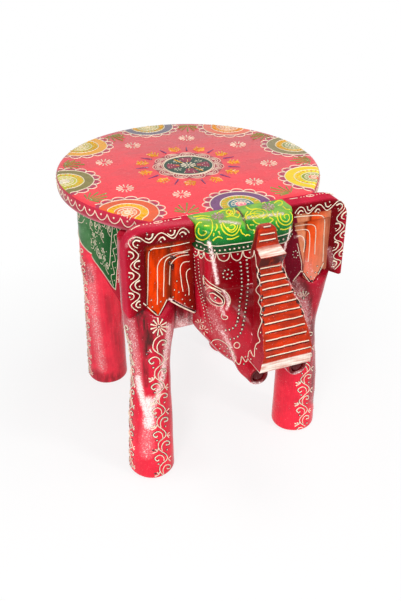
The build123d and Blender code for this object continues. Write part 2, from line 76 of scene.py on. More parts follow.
def add(tree, kind, sockets=None, stops=(), **settings):
    """Adds a shader node and fills its sockets with values, hex colours or other nodes, whose first
    output in use is linked. A colour ramp takes stops: its positions and hex colours in order."""
    made = tree.nodes.new("ShaderNode" + kind)
    for setting, value in settings.items():
        setattr(made, setting, value)
    for position, code in stops[1:-1]:
        made.color_ramp.elements.new(position).color = linear(code)
    for end in (0, -1) if stops else ():
        stop = made.color_ramp.elements[end]
        stop.position, stop.color = stops[end][0], linear(stops[end][1])
    for socket, value in (sockets or {}).items():
        if isinstance(value, bpy.types.Node):
            value = next(output for output in value.outputs if output.enabled)
        if isinstance(value, bpy.types.NodeSocket):
            tree.links.new(value, made.inputs[socket])
        else:
            made.inputs[socket].default_value = linear(value) if isinstance(value, str) else value
    return made


camera = bpy.data.objects.new("studio_camera", bpy.data.cameras.new("studio_camera"))
camera.data.lens = CAMERA_LENS
camera.data.sensor_width = 36.0
camera.data.clip_end = 50.0
turned = Matrix((CAMERA_RIGHT, CAMERA_UP, CAMERA_BACK)).transposed().to_4x4()
camera.matrix_world = Matrix.Translation(CAMERA_PLACE) @ turned
bpy.context.scene.collection.objects.link(camera)
bpy.context.scene.camera = camera
bpy.context.scene.view_settings.view_transform = "Standard"

FOCAL = CAMERA_LENS / 36.0 * PICTURE_HEIGHT


def through_camera(across, down):
    """The sight line of the studio camera through a point of its picture."""
    heading = (Vector(CAMERA_RIGHT) * (across - PICTURE_WIDTH / 2) / FOCAL
               - Vector(CAMERA_UP) * (down - PICTURE_HEIGHT / 2) / FOCAL - Vector(CAMERA_BACK))
    return Vector(CAMERA_PLACE), heading.normalized()


def seen_at(place):
    """The point of the studio camera's picture where a place shows."""
    offset = Vector(place) - Vector(CAMERA_PLACE)
    depth = -offset.dot(Vector(CAMERA_BACK))
    return Vector((PICTURE_WIDTH / 2 + FOCAL * offset.dot(Vector(CAMERA_RIGHT)) / depth,
                   PICTURE_HEIGHT / 2 - FOCAL * offset.dot(Vector(CAMERA_UP)) / depth))


for box_name, place, aimed_at, wide, tall, power in SOFT_BOXES:
    lamp = bpy.data.lights.new(box_name, "AREA")
    lamp.shape = "RECTANGLE"
    lamp.size, lamp.size_y, lamp.energy = wide, tall, power
    box = bpy.data.objects.new(box_name, lamp)
    box.location = place
    box.rotation_euler = (Vector(aimed_at) - Vector(place)).to_track_quat("-Z", "Y").to_euler()
    bpy.context.scene.collection.objects.link(box)


def looked_at(tree):
    """1 for a ray of sight, straight, mirrored or through glass, and 0 for light on the stool."""
    ray = add(tree, "LightPath").outputs
    straight = add(tree, "Math", {0: ray["Is Camera Ray"], 1: ray["Is Transmission Ray"]},
                   operation="MAXIMUM")
    return add(tree, "Math", {0: straight, 1: ray["Is Glossy Ray"]}, operation="MAXIMUM")


# White seamless paper round the set: full white where it is seen or mirrored, dimmer as a lamp.
world = bpy.data.worlds.new("white_surround")
world.use_nodes = True
bpy.context.scene.world = world
sky = world.node_tree
sky.nodes.clear()
dim = add(sky, "Background", {"Color": "#FFFFFF", "Strength": SURROUND_LIGHT})
white = add(sky, "Background", {"Color": "#FFFFFF", "Strength": 1.0})
shown = add(sky, "MixShader", {0: looked_at(sky), 1: dim, 2: white})
add(sky, "OutputWorld", {"Surface": shown})

# Matt paper sheet under the feet. It stays white to the eye and keeps a faint shadow.
paper = bpy.data.materials.new("matt_white_paper")
paper.use_nodes = True
tree = paper.node_tree
tree.nodes.clear()
lit = add(tree, "BsdfDiffuse", {"Color": "#F4F4F4"})
plain = add(tree, "Emission", {"Color": "#FFFFFF", "Strength": 1.0})
spread = add(tree, "VectorMath", {0: add(tree, "TexCoord").outputs["Object"]}, operation="LENGTH")
clear = add(tree, "MapRange", {0: spread, 1: SHADOW_REACH[0], 2: SHADOW_REACH[1],
                               3: SHADOW_CLEARED, 4: 1.0})
share = add(tree, "Math", {0: looked_at(tree), 1: clear}, operation="MULTIPLY")
sheet_shader = add(tree, "MixShader", {0: share, 1: lit, 2: plain})
add(tree, "OutputMaterial", {"Surface": sheet_shader})
work = bmesh.new()
bmesh.ops.create_grid(work, x_segments=1, y_segments=1, size=SHEET_SIZE / 2)
sheet_mesh = bpy.data.meshes.new("paper_sheet")
work.to_mesh(sheet_mesh)
work.free()
sheet_mesh.materials.append(paper)
sheet = bpy.data.objects.new("paper_sheet", sheet_mesh)
bpy.context.scene.collection.objects.link(sheet)


# ---------------------------------------------------------------- seat board
# A round board of mango wood, sawn straight across its front where the ears and head butt on.
# Its edges are rounded over, and it is brushed with coral red powder paint under clear lacquer.
SEAT_EDGE = 0.004
CORNER_START, CORNER_LENGTH, CORNER_FLARE = -0.03, 0.0415, 0.1  # of the two sawn front corners
SEAT_RINGS = (
    # turn from the front in degrees, distance from the middle, then the colour of each ring
    (-92.6, 0.139, ("#E9E2C8", "#C9C64A", "#CBC63C", "#8A7F47")),
    (-47.6, 0.139, ("#F4B27A", "#E5703F", "#F2B324", "#E5623C")),
    (4.1, 0.118, ("#EE7F92", "#4F7E86", "#AEB03A", "#7A5078")),
    (53.2, 0.139, ("#E8703A", "#8E9C22", "#E6DC14", "#EECB12")),
    (95.0, 0.139, ("#7FA07A", "#8C9A4A", "#D8B23A", "#8C7F4F")),
    (137.0, 0.139, ("#F0A45A", "#EC8A52", "#F09A5A", "#F06A4A")),
    (179.0, 0.139, ("#D9C86A", "#B7B35A", "#B8B06A", "#6E6476")),
    (-137.5, 0.139, ("#D8C84A", "#C9BE3E", "#C9B93A", "#F4A91C")),
)
RING_STARTS = (0.0, 0.0055, 0.013, 0.0208, 0.031)
PETAL_SHADE = "#B5405A"
RIM_SHADES = ((0.0, "#D9828A"), (0.35, "#A8293F"), (1.0, "#C82A45"))  # from its lower edge up
PETAL_REACH = 0.0365
MEDALLION_RADIUS, ROSY_RADIUS = 0.0275, 0.0385
TOP_PAINT = 0.0016  # how far the coral of the top runs down over the rounded edge

seat_low, seat_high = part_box("seat_board")
seat_radius = (seat_high.x - seat_low.x) / 2
seat_centre = Vector((0.0, seat_high.y - seat_radius, 0.0))
seat_top, seat_under = seat_high.z, seat_low.z


def on_seat(radius, turn):
    """A point of the seat's plane, by its distance from the middle and its turn from the front."""
    angle = math.radians(turn)
    return seat_centre + radius * Vector((math.sin(angle), -math.cos(angle), 0.0))


def clamped(share):
    """A share kept between none and all."""
    return max(0.0, min(1.0, share))


def mottle(tree, place, per_metre, detail=2.0, roughness=0.5, drawn=None):
    """Uneven blotches, so many to the metre, that can be drawn out along the brush."""
    if drawn:
        place = add(tree, "Mapping", {"Vector": place, "Scale": drawn})
    return add(tree, "TexNoise", {"Vector": place, "Scale": per_metre, "Detail": detail,
                                  "Roughness": roughness})


def lacquer(name, paint, nib=1.0, gloss=0.2, coat=0.35, cloudy=0.5, shine=0.05):
    """Clear spirit lacquer over hand-brushed powder paint on carved wood. The brush leaves cloudy
    colour and fine streaks, the lacquer pools to a gloss, and dust nibs break up its highlights."""
    made = bpy.data.materials.new(name)
    made.use_nodes = True
    tree = made.node_tree
    tree.nodes.clear()
    place = add(tree, "TexCoord").outputs["Object"]
    colour = paint(tree, place)
    # Cloudy brushwork about 25 mm across, and streaks about 1.5 mm apart.
    cloud = mottle(tree, place, 40.0, 4.0, 0.6)
    cloud_share = add(tree, "MapRange", {0: cloud, 1: 0.3, 2: 0.7,
                                         3: 1.0 - 0.36 * cloudy, 4: 1.0 + 0.24 * cloudy})
    streak = mottle(tree, place, 650.0, drawn=(1.0, 1.0, 0.12))
    streak_share = add(tree, "MapRange", {0: streak, 1: 0.3, 2: 0.7, 3: 0.93, 4: 1.05})
    tone = add(tree, "Math", {0: cloud_share, 1: streak_share}, operation="MULTIPLY")
    toned = add(tree, "VectorMath", {0: colour, "Scale": tone}, operation="SCALE")
    # Rubbed places show the chalk ground as pale specks about 1.5 mm across, and so do edges. The same pale
    # strokes also carry painted highlights where the lacquer would mirror the lamps.
    speck = mottle(tree, place, 620.0, 3.0, 0.75)
    crisp = add(tree, "MapRange", {0: speck, 1: 0.3, 2: 0.7, 3: 0.15, 4: 0.85})
    rubbed_and_highlight = add(tree, "Attribute", attribute_name="rubbed_and_highlight").outputs["Fac"]
    worn = add(tree, "NewGeometry").outputs["Pointiness"]
    worn_share = add(tree, "MapRange", {0: worn, 1: 0.54, 2: 0.64, 3: 0.0, 4: 0.45})
    most = add(tree, "Math", {0: rubbed_and_highlight, 1: worn_share}, operation="MAXIMUM")
    above = add(tree, "Math", {0: most, 1: 0.5, 2: crisp}, operation="MULTIPLY_ADD")
    bare_and_sheen = add(tree, "MapRange", {0: above, 1: 0.76, 2: 1.06, 3: 0.0, 4: 0.94})
    veil_share = add(tree, "Math", {0: rubbed_and_highlight, 1: 0.5}, operation="MULTIPLY", use_clamp=True)
    veiled = add(tree, "Mix", {0: veil_share, 6: toned, 7: "#EFA6AA"}, data_type="RGBA")
    chalk_and_highlight_specks = add(tree, "Mix", {0: bare_and_sheen, 6: veiled, 7: "#FCEBE7"}, data_type="RGBA")
    # Dark glaze is left in streaks where it was not wiped off. The same dark strokes also carry painted
    # shade under the ears, under the ledge and in grooves.
    glaze_and_shade = add(tree, "Attribute", attribute_name="glaze_and_shade").outputs["Fac"]
    smear = mottle(tree, place, 190.0, 5.0, 0.65, drawn=(1.0, 1.0, 0.16))
    smeared = add(tree, "MapRange", {0: smear, 1: 0.34, 2: 0.56})
    darkened = add(tree, "Math", {0: glaze_and_shade, 1: smeared}, operation="MULTIPLY", use_clamp=True)
    glaze_and_shade_colour = add(tree, "Mix", {0: darkened, 6: chalk_and_highlight_specks, 7: "#4E1B1A"}, data_type="RGBA")
    # Carving knife facets about 9 mm wide and lacquer nibs about 1 mm wide.
    facet = mottle(tree, place, 110.0, 1.0)
    knife = add(tree, "Bump", {"Height": facet, "Strength": 0.3, "Distance": 0.001})
    nibs = mottle(tree, place, 1000.0)
    dust_and_sheen = add(tree, "Bump", {"Height": nibs, "Strength": 0.35 * nib,
                               "Distance": 0.0003, "Normal": knife})
    rough = add(tree, "MapRange", {0: cloud, 1: 0.3, 2: 0.7, 3: gloss, 4: gloss + 0.15})
    shader = add(tree, "BsdfPrincipled", {
        "Base Color": glaze_and_shade_colour, "Roughness": rough, "Normal": dust_and_sheen,
        "Specular IOR Level": shine, "Coat Weight": coat, "Coat Roughness": 0.08, "Coat IOR": 1.38})
    add(tree, "OutputMaterial", {"Surface": shader})
    return made


def finished(name, work, finish, slot, *stands_for):
    """Turns a worked mesh into a piece of the stool, with its paint."""
    mesh = bpy.data.meshes.new(name)
    work.to_mesh(mesh)
    work.free()
    mesh.materials.append(finish)
    for face in mesh.polygons:
        face.use_smooth = True
    piece = bpy.data.objects.new(name, mesh)
    bpy.context.scene.collection.objects.link(piece)
    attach(piece, "root")
    if stands_for:
        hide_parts(*stands_for)
    return piece


def seat_paint(tree, place):
    """Coral red ground, half flowers of flat colour round the rim and a dark green medallion."""
    apart = add(tree, "SeparateXYZ", {0: place})
    height = apart.outputs["Z"]
    flat = add(tree, "CombineXYZ", {"X": apart.outputs["X"], "Y": apart.outputs["Y"]})
    # The rim darkens downwards and is rubbed to pink along its lower edge.
    rim = add(tree, "MapRange", {0: height, 1: seat_under, 2: seat_top - 0.003})
    rim_colour = add(tree, "ValToRGB", {0: rim}, RIM_SHADES)
    on_top = add(tree, "Math", {0: height, 1: seat_top - TOP_PAINT}, operation="GREATER_THAN")
    # The coral is painted paler towards the tail and the elephant's left, in brushed patches: a painted
    # glancing reflection on the far side of the board.
    dust_and_sheen = add(tree, "VectorMath", {0: flat, 1: (2.2, 3.4, 0.0)}, operation="DOT_PRODUCT")
    patch = mottle(tree, place, 45.0, 6.0, 0.6, drawn=(0.25, 1.0, 1.0))
    spread = add(tree, "Math", {0: patch, 1: 1.3, 2: dust_and_sheen}, operation="MULTIPLY_ADD")
    far_sheen = add(tree, "MapRange", {0: spread, 1: 0.5, 2: 1.5})
    coral = add(tree, "Mix", {0: far_sheen, 6: "#F84752", 7: "#CF565C"}, data_type="RGBA")
    colour = add(tree, "Mix", {0: on_top, 6: rim_colour, 7: coral}, data_type="RGBA")
    for turn, reach, shades in SEAT_RINGS:
        heart = on_seat(reach, turn)
        away = add(tree, "VectorMath", {0: flat, 1: heart}, operation="DISTANCE")
        part = add(tree, "Math", {0: away, 1: PETAL_REACH}, operation="DIVIDE")
        rings = add(tree, "ValToRGB", {0: part}, [(start / PETAL_REACH, shade) for start, shade
                                                  in zip(RING_STARTS, (*shades, PETAL_SHADE))])
        rings.color_ramp.interpolation = "CONSTANT"
        inside = add(tree, "Math", {0: part, 1: 1.0}, operation="LESS_THAN")
        painted = add(tree, "Math", {0: inside, 1: on_top}, operation="MULTIPLY")
        colour = add(tree, "Mix", {0: painted, 6: colour, 7: rings}, data_type="RGBA")
    # Medallion: dark green with four maroon lobes.
    centred = add(tree, "VectorMath", {0: flat, 1: seat_centre}, operation="SUBTRACT")
    reach = add(tree, "VectorMath", {0: centred}, operation="LENGTH")
    sides = add(tree, "SeparateXYZ", {0: centred})
    around = add(tree, "Math", {0: sides.outputs["Y"], 1: sides.outputs["X"]}, operation="ARCTAN2")
    lobes = add(tree, "Math", {0: around, 1: 4.0, 2: 0.9}, operation="MULTIPLY_ADD")
    lobe = add(tree, "Math", {0: lobes}, operation="COSINE")
    lobe_shape = add(tree, "MapRange", {0: lobe, 1: 0.05, 2: 0.25})
    outwards = add(tree, "Math", {0: reach, 1: MEDALLION_RADIUS}, operation="DIVIDE")
    lobe_ring = add(tree, "ValToRGB", {0: outwards}, ((0.33, "#000000"), (0.38, "#FFFFFF"),
                                                      (0.84, "#FFFFFF"), (0.88, "#000000")))
    lobed = add(tree, "Math", {0: lobe_shape, 1: lobe_ring}, operation="MULTIPLY")
    disc = add(tree, "Mix", {0: lobed, 6: "#1F4434", 7: "#8E2140"}, data_type="RGBA")
    petals = add(tree, "Math", {0: reach, 1: ROSY_RADIUS}, operation="LESS_THAN")
    petalled = add(tree, "Math", {0: petals, 1: on_top}, operation="MULTIPLY")
    colour = add(tree, "Mix", {0: petalled, 6: colour, 7: "#A83C48"}, data_type="RGBA")
    inside = add(tree, "Math", {0: reach, 1: MEDALLION_RADIUS}, operation="LESS_THAN")
    return add(tree, "Mix", {0: inside, 6: colour, 7: disc}, data_type="RGBA")


work = bmesh.new()
bmesh.ops.create_circle(work, cap_ends=True, radius=seat_radius, segments=200,
                        matrix=Matrix.Translation(seat_centre + Vector((0, 0, seat_under))))
bmesh.ops.bisect_plane(work, geom=work.verts[:] + work.edges[:] + work.faces[:], dist=1e-6,
                       plane_co=(0, seat_low.y, 0), plane_no=(0, -1, 0), clear_outer=True)
raised = bmesh.ops.extrude_face_region(work, geom=work.faces[:])
bmesh.ops.translate(work, vec=(0, 0, seat_top - seat_under),
                    verts=[v for v in raised["geom"] if isinstance(v, bmesh.types.BMVert)])
rim_edges = [e for e in work.edges
             if abs(e.verts[0].co.z - e.verts[1].co.z) < 1e-6
             and all((v.co - seat_centre).to_2d().length > seat_radius - 1e-4 for v in e.verts)
             and (e.verts[0].co - e.verts[1].co).length < 0.01]
bmesh.ops.bevel(work, geom=rim_edges, offset=SEAT_EDGE, segments=4, profile=0.5, affect="EDGES",
                material=-1)
for vert in work.verts:
    vert.co.x *= 1.0 + CORNER_FLARE * clamped((CORNER_START - vert.co.y) / CORNER_LENGTH) ** 3
bmesh.ops.recalc_face_normals(work, faces=work.faces[:])
# The seat is sanded flat and brushed evenly, so its coral has a soft satin sheen.
seat_lacquer = lacquer("coral_lacquered_mango_wood", seat_paint, coat=0.25, cloudy=0.25)
seat = finished("seat_board_painted", work, seat_lacquer, "seat_lacquer", "seat_board")


# ---------------------------------------------------------------- relief paint on the seat
# Thick cream and coloured paint is squeezed from a paper cone, as for henna, and dries as round
# raised lines about 1 mm wide, dots, and teardrop petals that start fat and end thin.
HAND_WOBBLE = 0.35  # mm that the painter's hand strays from the drawn pattern
LONGEST_STEP = 0.006  # a line that would jump further, over an edge, is broken off there
noise.seed_set(7)  # so that the hand strays the same way each time


def squeezed_paint(name, code):
    """Chalk and gum paint under the same lacquer: slightly uneven, semi-gloss."""

    def tint(tree, place):
        shade = mottle(tree, place, 220.0)
        dark = [c * 0.85 for c in linear(code)[:3]] + [1.0]
        return add(tree, "Mix", {0: shade, 6: linear(code), 7: dark}, data_type="RGBA")

    return lacquer(name, tint, nib=0.2, gloss=0.4, coat=0.2)


def skin_of(*pieces):
    """The surface that the painter's cone is laid on, of one or more pieces together."""
    places, faces = [], []
    for piece in pieces:
        start = len(places)
        places += [v.co.copy() for v in piece.data.vertices]
        faces += [[start + i for i in p.vertices] for p in piece.data.polygons]
    return BVHTree.FromPolygons(places, faces)


def stroked(points, step=1.6, loop=False):
    """A smooth stroke through given points, in mm."""
    points = [Vector(p) for p in points]
    if loop:
        points = [points[-1], *points, points[0], points[1]]
    else:
        points = [2 * points[0] - points[1], *points, 2 * points[-1] - points[-2]]
    path = []
    for before, start, end, after in zip(points, points[1:], points[2:], points[3:]):
        parts = max(1, round((end - start).length / step))
        for part in range(parts):
            t = part / parts
            path.append(0.5 * (2 * start + (end - before) * t
                               + (2 * before - 5 * start + 4 * end - after) * t ** 2
                               + (3 * start - before - 3 * end + after) * t ** 3))
    if not loop:
        path.append(points[-2])
    return path


def ring(centre, radius, start=0.0, end=360.0, squash=1.0):
    """Points of an arc, in mm and degrees."""
    parts = max(4, round(abs(math.radians(end - start)) * radius / 1.6))
    return [Vector((centre[0] + radius * math.cos(math.radians(start + (end - start) * i / parts)),
                    centre[1] + squash * radius * math.sin(math.radians(start + (end - start) * i / parts))))
            for i in range(parts + 1)]


def spiral(centre, reach, start, turns, tight=0.25):
    """A curl that winds in from reach mm, starting at an angle in degrees. Negative turns mirror it."""
    parts = max(6, round(abs(turns) * 16))
    path = []
    for i in range(parts + 1):
        t = i / parts
        angle = math.radians(start + 360 * turns * t)
        radius = reach * (1 - (1 - tight) * t)
        path.append(Vector((centre[0] + radius * math.cos(angle), centre[1] + radius * math.sin(angle))))
    return path


def petals(lines, centre, near, far, turns, width=1.7):
    """Teardrop strokes that point away from a centre, fat outside."""
    for turn in turns:
        away = Vector((math.cos(math.radians(turn)), math.sin(math.radians(turn))))
        lines.append(([Vector(centre) + away * (far + (near - far) * t) for t in (0, 0.35, 0.7, 1)],
                      (width, width * 0.35)))


def onto(skin, aim, path, sunk=0.0):
    """Lays a path of the pattern on a surface. Gives the runs that land on it, in metres."""
    runs, run = [], []
    for point in path:
        stray = noise.noise_vector(Vector((point[0], point[1], 0.0)) / 9.0) * HAND_WOBBLE
        start, heading = aim(point[0] + stray.x, point[1] + stray.y)
        place = None
        if start is not None:
            place, facing = skin.ray_cast(start, heading)[:2]
            if place is not None:
                place -= facing * math.copysign(sunk, -facing.dot(heading))
        if place is None or (run and (place - run[-1]).length > LONGEST_STEP):
            if len(run) > 1:
                runs.append(run)
            run = []
        if place is not None:
            run.append(place)
    return runs + [run] if len(run) > 1 else runs


def relief(name, finish, skin, aim, lines, dots=(), mirror=False, fitted=None, sunk=0.0):
    """Squeezes a drawing onto a surface. A line is (path, width or (first, last) width). A mirrored
    drawing's twin may be fitted to its own side, and a sunk one shows only as an edge."""
    curve = bpy.data.curves.new(name, "CURVE")
    curve.dimensions = "3D"
    curve.bevel_depth, curve.bevel_resolution, curve.use_fill_caps = 0.0005, 1, True
    for path, width in lines:
        first, last = width if isinstance(width, tuple) else (width, width)
        for run in onto(skin, aim, path, sunk):
            spline = curve.splines.new("POLY")
            spline.points.add(len(run) - 1)
            for i, (knot, place) in enumerate(zip(spline.points, run)):
                knot.co = (*place, 1.0)
                knot.radius = first + (last - first) * i / (len(run) - 1)
    drawn = bpy.data.objects.new(name + "_drawn", curve)
    bpy.context.scene.collection.objects.link(drawn)
    lined = bpy.data.meshes.new_from_object(drawn)
    work = bmesh.new()
    work.from_mesh(lined)
    bpy.data.objects.remove(drawn)
    bpy.data.meshes.remove(lined)
    for point, size in dots:
        for place in [p for run in onto(skin, aim, [point, point], sunk) for p in run[:1]]:
            bmesh.ops.create_uvsphere(work, u_segments=8, v_segments=5, radius=size / 2000,
                                      matrix=Matrix.Translation(place))
    if mirror:
        twin = bmesh.ops.duplicate(work, geom=work.verts[:] + work.edges[:] + work.faces[:])
        corners = [v for v in twin["geom"] if isinstance(v, bmesh.types.BMVert)]
        bmesh.ops.scale(work, vec=(-1, 1, 1), verts=corners)
        bmesh.ops.reverse_faces(work, faces=[f for f in twin["geom"]
                                             if isinstance(f, bmesh.types.BMFace)])
        for corner in corners if fitted else ():
            corner.co = fitted(corner.co)
    return finished(name, work, finish, "line_paint")


def outlined(name, finish, skin, aim, lines, dots=(), **twin):
    """A drawing with a dark halo beside its raised lines: glaze settled there, and painted shadow of the
    raised paint.
    """
    relief(name, finish, skin, aim, lines, dots, **twin)
    wider = [(path, tuple(w + DARK_HALO_SPREAD for w in width) if isinstance(width, tuple)
              else width + DARK_HALO_SPREAD) for path, width in lines]
    relief(name + "_glaze", dark_glaze_and_shadow, skin, aim, wider,
           [(point, size + DARK_HALO_SPREAD) for point, size in dots], sunk=DARK_HALO_SINK, **twin)


# The dark halo beside raised lines is settled glaze and painted shadow.
DARK_HALO_SPREAD, DARK_HALO_SINK = 3.2, 0.00185  # mm wider than the line, metres below the surface
cream = squeezed_paint("cream_cone_paint", "#FBE9CF")
# Dark paint for glaze, painted shadow beside and under raised lines, and the eyes' outlines.
dark_glaze_and_shadow = squeezed_paint("settled_dark_glaze", "#3A0B0C")
yellow = squeezed_paint("yellow_cone_paint", "#F2A628")
olive = squeezed_paint("olive_cone_paint", "#8E9A4E")
plum = squeezed_paint("plum_brush_paint", "#7A3F74")

SEAT_FLOWERS = ((-117, 94), (-67, 93), (-27, 82), (33, 85), (71, 90), (116, 88), (159, 88), (-156, 90))
SEAT_FANS = ((-23, 128), (31, 131), (-69, 139), (-113, 139), (-158, 136), (158, 136), (115, 139),
             (74, 139))
MEDALLION_SCALLOPS = 11
SCALLOP_TURN = -36.5  # middle of the scallop next to the front
FRONT_SPARE, EDGE_SPARE = 0.001, 0.0012  # left bare along the sawn front and the round edge
CORNER_LOW, CORNER_SPARE = -0.04, 0.003  # the paint runs out further on the front corners


def seat_point(radius, turn):
    """Pattern point of the seat in mm, from its distance to the middle and turn from the front."""
    return (on_seat(radius / 1000, turn) * 1000).to_2d()


def down_on_seat(x, y):
    """Straight down on the seat, inside its rounded rim."""
    place = Vector((x, y)) / 1000
    spare = CORNER_SPARE if place.y < CORNER_LOW else -EDGE_SPARE
    reach = (place - seat_centre.to_2d()).length
    if place.y < seat_low.y + FRONT_SPARE or reach > seat_radius + spare:
        return None, None
    return Vector((place.x, place.y, seat_top + 0.01)), Vector((0, 0, -1))


seat_skin = skin_of(seat)
lines, dots, golden, leafy, spiky = [], [], [], [], []
for turn, reach, shades in SEAT_RINGS:
    heart = seat_point(reach * 1000, turn)
    inward = 90.0 + turn
    for radius, width in ((2.6, 1.6), (5.6, 0.9), (9.4, 0.9), (13.0, 0.9), (20.8, 1.1), (31.0, 1.2)):
        lines.append((ring(heart, radius), width))
    for i in range(16):
        first, span = inward + 22.5 * (i + 0.5), 22.5
        lines.append(([heart + (31 + 7.6 * math.sin(math.pi * t) ** 0.42)
                       * Vector((math.cos(math.radians(first + span * t)),
                                 math.sin(math.radians(first + span * t))))
                       for t in (0, 0.03, 0.1, 0.2, 0.35, 0.5, 0.65, 0.8, 0.9, 0.97, 1)], 1.15))
    golden_turns = [inward + 15 * i for i in range(24)]
    petals(golden, heart, 14.3, 19.3, golden_turns, 1.8)
    petals(lines, heart, 5.8, 8.6, [inward + 30 * i for i in range(12)], 1.1)

lines += [(ring(seat_centre.to_2d() * 1000, 27.4), 1.2), (ring(seat_centre.to_2d() * 1000, 29.2), 0.9)]
for i in range(MEDALLION_SCALLOPS):
    step = 360 / MEDALLION_SCALLOPS
    middle = SCALLOP_TURN + step * i
    for low_reach, high_reach, share in ((29.2, 39.8, 1.0), (30.5, 36.8, 0.62), (31.5, 34.4, 0.3)):
        lines.append(([seat_point(low_reach + (high_reach - low_reach) * math.sin(math.pi * t) ** 0.5,
                                  middle + step * share * (t - 0.5))
                       for t in (0, 0.05, 0.15, 0.3, 0.5, 0.7, 0.85, 0.95, 1)], 0.75))
    stem = middle + step / 2
    golden.append((stroked([seat_point(r, stem) for r in (44, 50, 58)]), (2.2, 1.1)))
    for reach, lean in ((45.5, 7.0), (49.5, 6.0), (53.5, 4.6)):
        for side in (-1, 1):
            golden.append(([seat_point(reach, stem + side * 0.8),
                            seat_point(reach + 2.5, stem + side * lean * 0.6),
                            seat_point(reach + 4.2, stem + side * lean)], (1.1, 2.3)))
    spiky.append((stroked([seat_point(r, middle) for r in (44.5, 50, 58)]), (2.2, 0.8)))
heart = seat_centre.to_2d() * 1000
petals(lines, heart, 2.2, 8.2, [36 * i + 8 for i in range(10)], 1.6)
dots.append((heart, 2.2))
for turn in (22, 202):
    golden.append((stroked([seat_point(r, turn) for r in (9, 15, 23)]), (1.0, 1.6)))
for i in range(4):
    turn = 71 + 90 * i
    golden.append(([seat_point(r, turn) for r in (10, 14)], (1.0, 0.8)))
    dots += [(seat_point(r, turn + 14 * (r > 17)), 1.1) for r in (16, 19, 22)]
    dots += [(seat_point(r, turn - 14), 1.1) for r in (19, 22)]
    petals(lines, seat_point(17, turn + 45), 1.0, 4.5, [60 * k for k in range(6)], 0.8)
for turn, reach in SEAT_FLOWERS:
    petals(lines, seat_point(reach, turn), 2.8, 9.4, [30 * i + turn for i in range(12)], 1.7)
for turn, reach in SEAT_FANS:
    base = seat_point(reach, turn)
    for lean in (-66, -44, -22, 0, 22, 44, 66):
        heading = math.radians(90 + turn + lean)
        away = Vector((math.cos(heading), math.sin(heading)))
        length = 24 - abs(lean) * 0.17
        leafy.append((stroked([base + away * length * t for t in (0.12, 0.55, 1.0)]), (0.9, 2.0)))
relief("seat_cream_lines", cream, seat_skin, down_on_seat, lines, dots)
relief("seat_golden_sprigs", yellow, seat_skin, down_on_seat, golden)
relief("seat_olive_fans", olive, seat_skin, down_on_seat, leafy)
relief("seat_plum_spikes", plum, seat_skin, down_on_seat, spiky)


def rim_in(along, height):
    """Inwards on the rim: along it in mm from the front, height in mm."""
    turn = along / (seat_radius * 1000)
    heading = Vector((math.sin(turn), -math.cos(turn), 0.0))
    return seat_centre + heading * (seat_radius + 0.01) + Vector((0, 0, height / 1000)), -heading


RIM_PITCH, RIM_JOINT_TURN = 16.0, -49.1  # mm, and degrees from the front to one joint
SCALLOP_TOP, SCALLOP_DROP, RIM_DOT = 302.6, 9.6, 299.2
RIM_JOINT = math.radians(RIM_JOINT_TURN) * seat_radius * 1000
lines, dots = [], []
rim_start = math.acos((seat_centre.y - seat_low.y) / seat_radius) * seat_radius * 1000
for i in range(-24, 30):
    start = RIM_JOINT + RIM_PITCH * i
    if start + RIM_PITCH < -rim_start or rim_start < start:
        lines.append(([(start + RIM_PITCH * t,
                        SCALLOP_TOP - SCALLOP_DROP * math.sin(math.pi * t ** 0.85) ** 0.6)
                       for t in (0.02, 0.05, 0.12, 0.22, 0.36, 0.5, 0.64, 0.78, 0.88, 0.95, 0.98)],
                      1.1))
        dots.append(((start + RIM_PITCH * 0.48, RIM_DOT), 2.1))
relief("seat_rim_scallops", cream, seat_skin, rim_in, lines, dots)


# ---------------------------------------------------------------- body block
# One block of mango wood under the seat, sawn to its curve, with the posts dowelled to it. Like
# the posts, ears, head and trunk it is rasped round by hand and sanded. Its flanks carry a green
# field over the crimson, and the paint is rubbed pale on the chest.


def carved(name, finish, slot, node, grain=0.0015, sanding=3, hand=0.0, softened=(), shape=None,
           fields=None):
    """A block with soft carved edges, worked from its sawn shape. Softened places are sanded more."""
    mesh = nodes[node].data.copy()
    work = bmesh.new()
    work.from_mesh(mesh)
    bmesh.ops.remove_doubles(work, verts=work.verts[:], dist=1e-6)
    work.to_mesh(mesh)
    work.free()
    blank = bpy.data.objects.new(name + "_blank", mesh)
    bpy.context.scene.collection.objects.link(blank)
    skin = blank.modifiers.new("skin", "REMESH")
    skin.mode = "VOXEL"
    skin.voxel_size = grain
    sanded = blank.modifiers.new("sanded", "SMOOTH")
    sanded.factor, sanded.iterations = 0.5, sanding
    made = bpy.data.meshes.new_from_object(
        blank.evaluated_get(bpy.context.evaluated_depsgraph_get()))
    bpy.data.objects.remove(blank)
    work = bmesh.new()
    work.from_mesh(made)
    bpy.data.meshes.remove(made)
    for reach, rounds in softened:
        soft = [v for v in work.verts if reach(v.co)]
        for _ in range(rounds):
            bmesh.ops.smooth_vert(work, verts=soft, factor=0.5, use_axis_x=True, use_axis_y=True,
                                  use_axis_z=True)
    if shape:
        for vert in work.verts:
            vert.co = shape(vert.co)
    if hand:
        work.normal_update()
        for vert in work.verts:
            vert.co += vert.normal * hand * noise.noise(vert.co * 45.0)
    piece = finished(name, work, finish, slot, node)
    for field, measure in (fields or {}).items():
        layer = piece.data.attributes.new(field, "FLOAT", "POINT")
        layer.data.foreach_set("value", [measure(v.co, v.normal) for v in piece.data.vertices])
    return piece


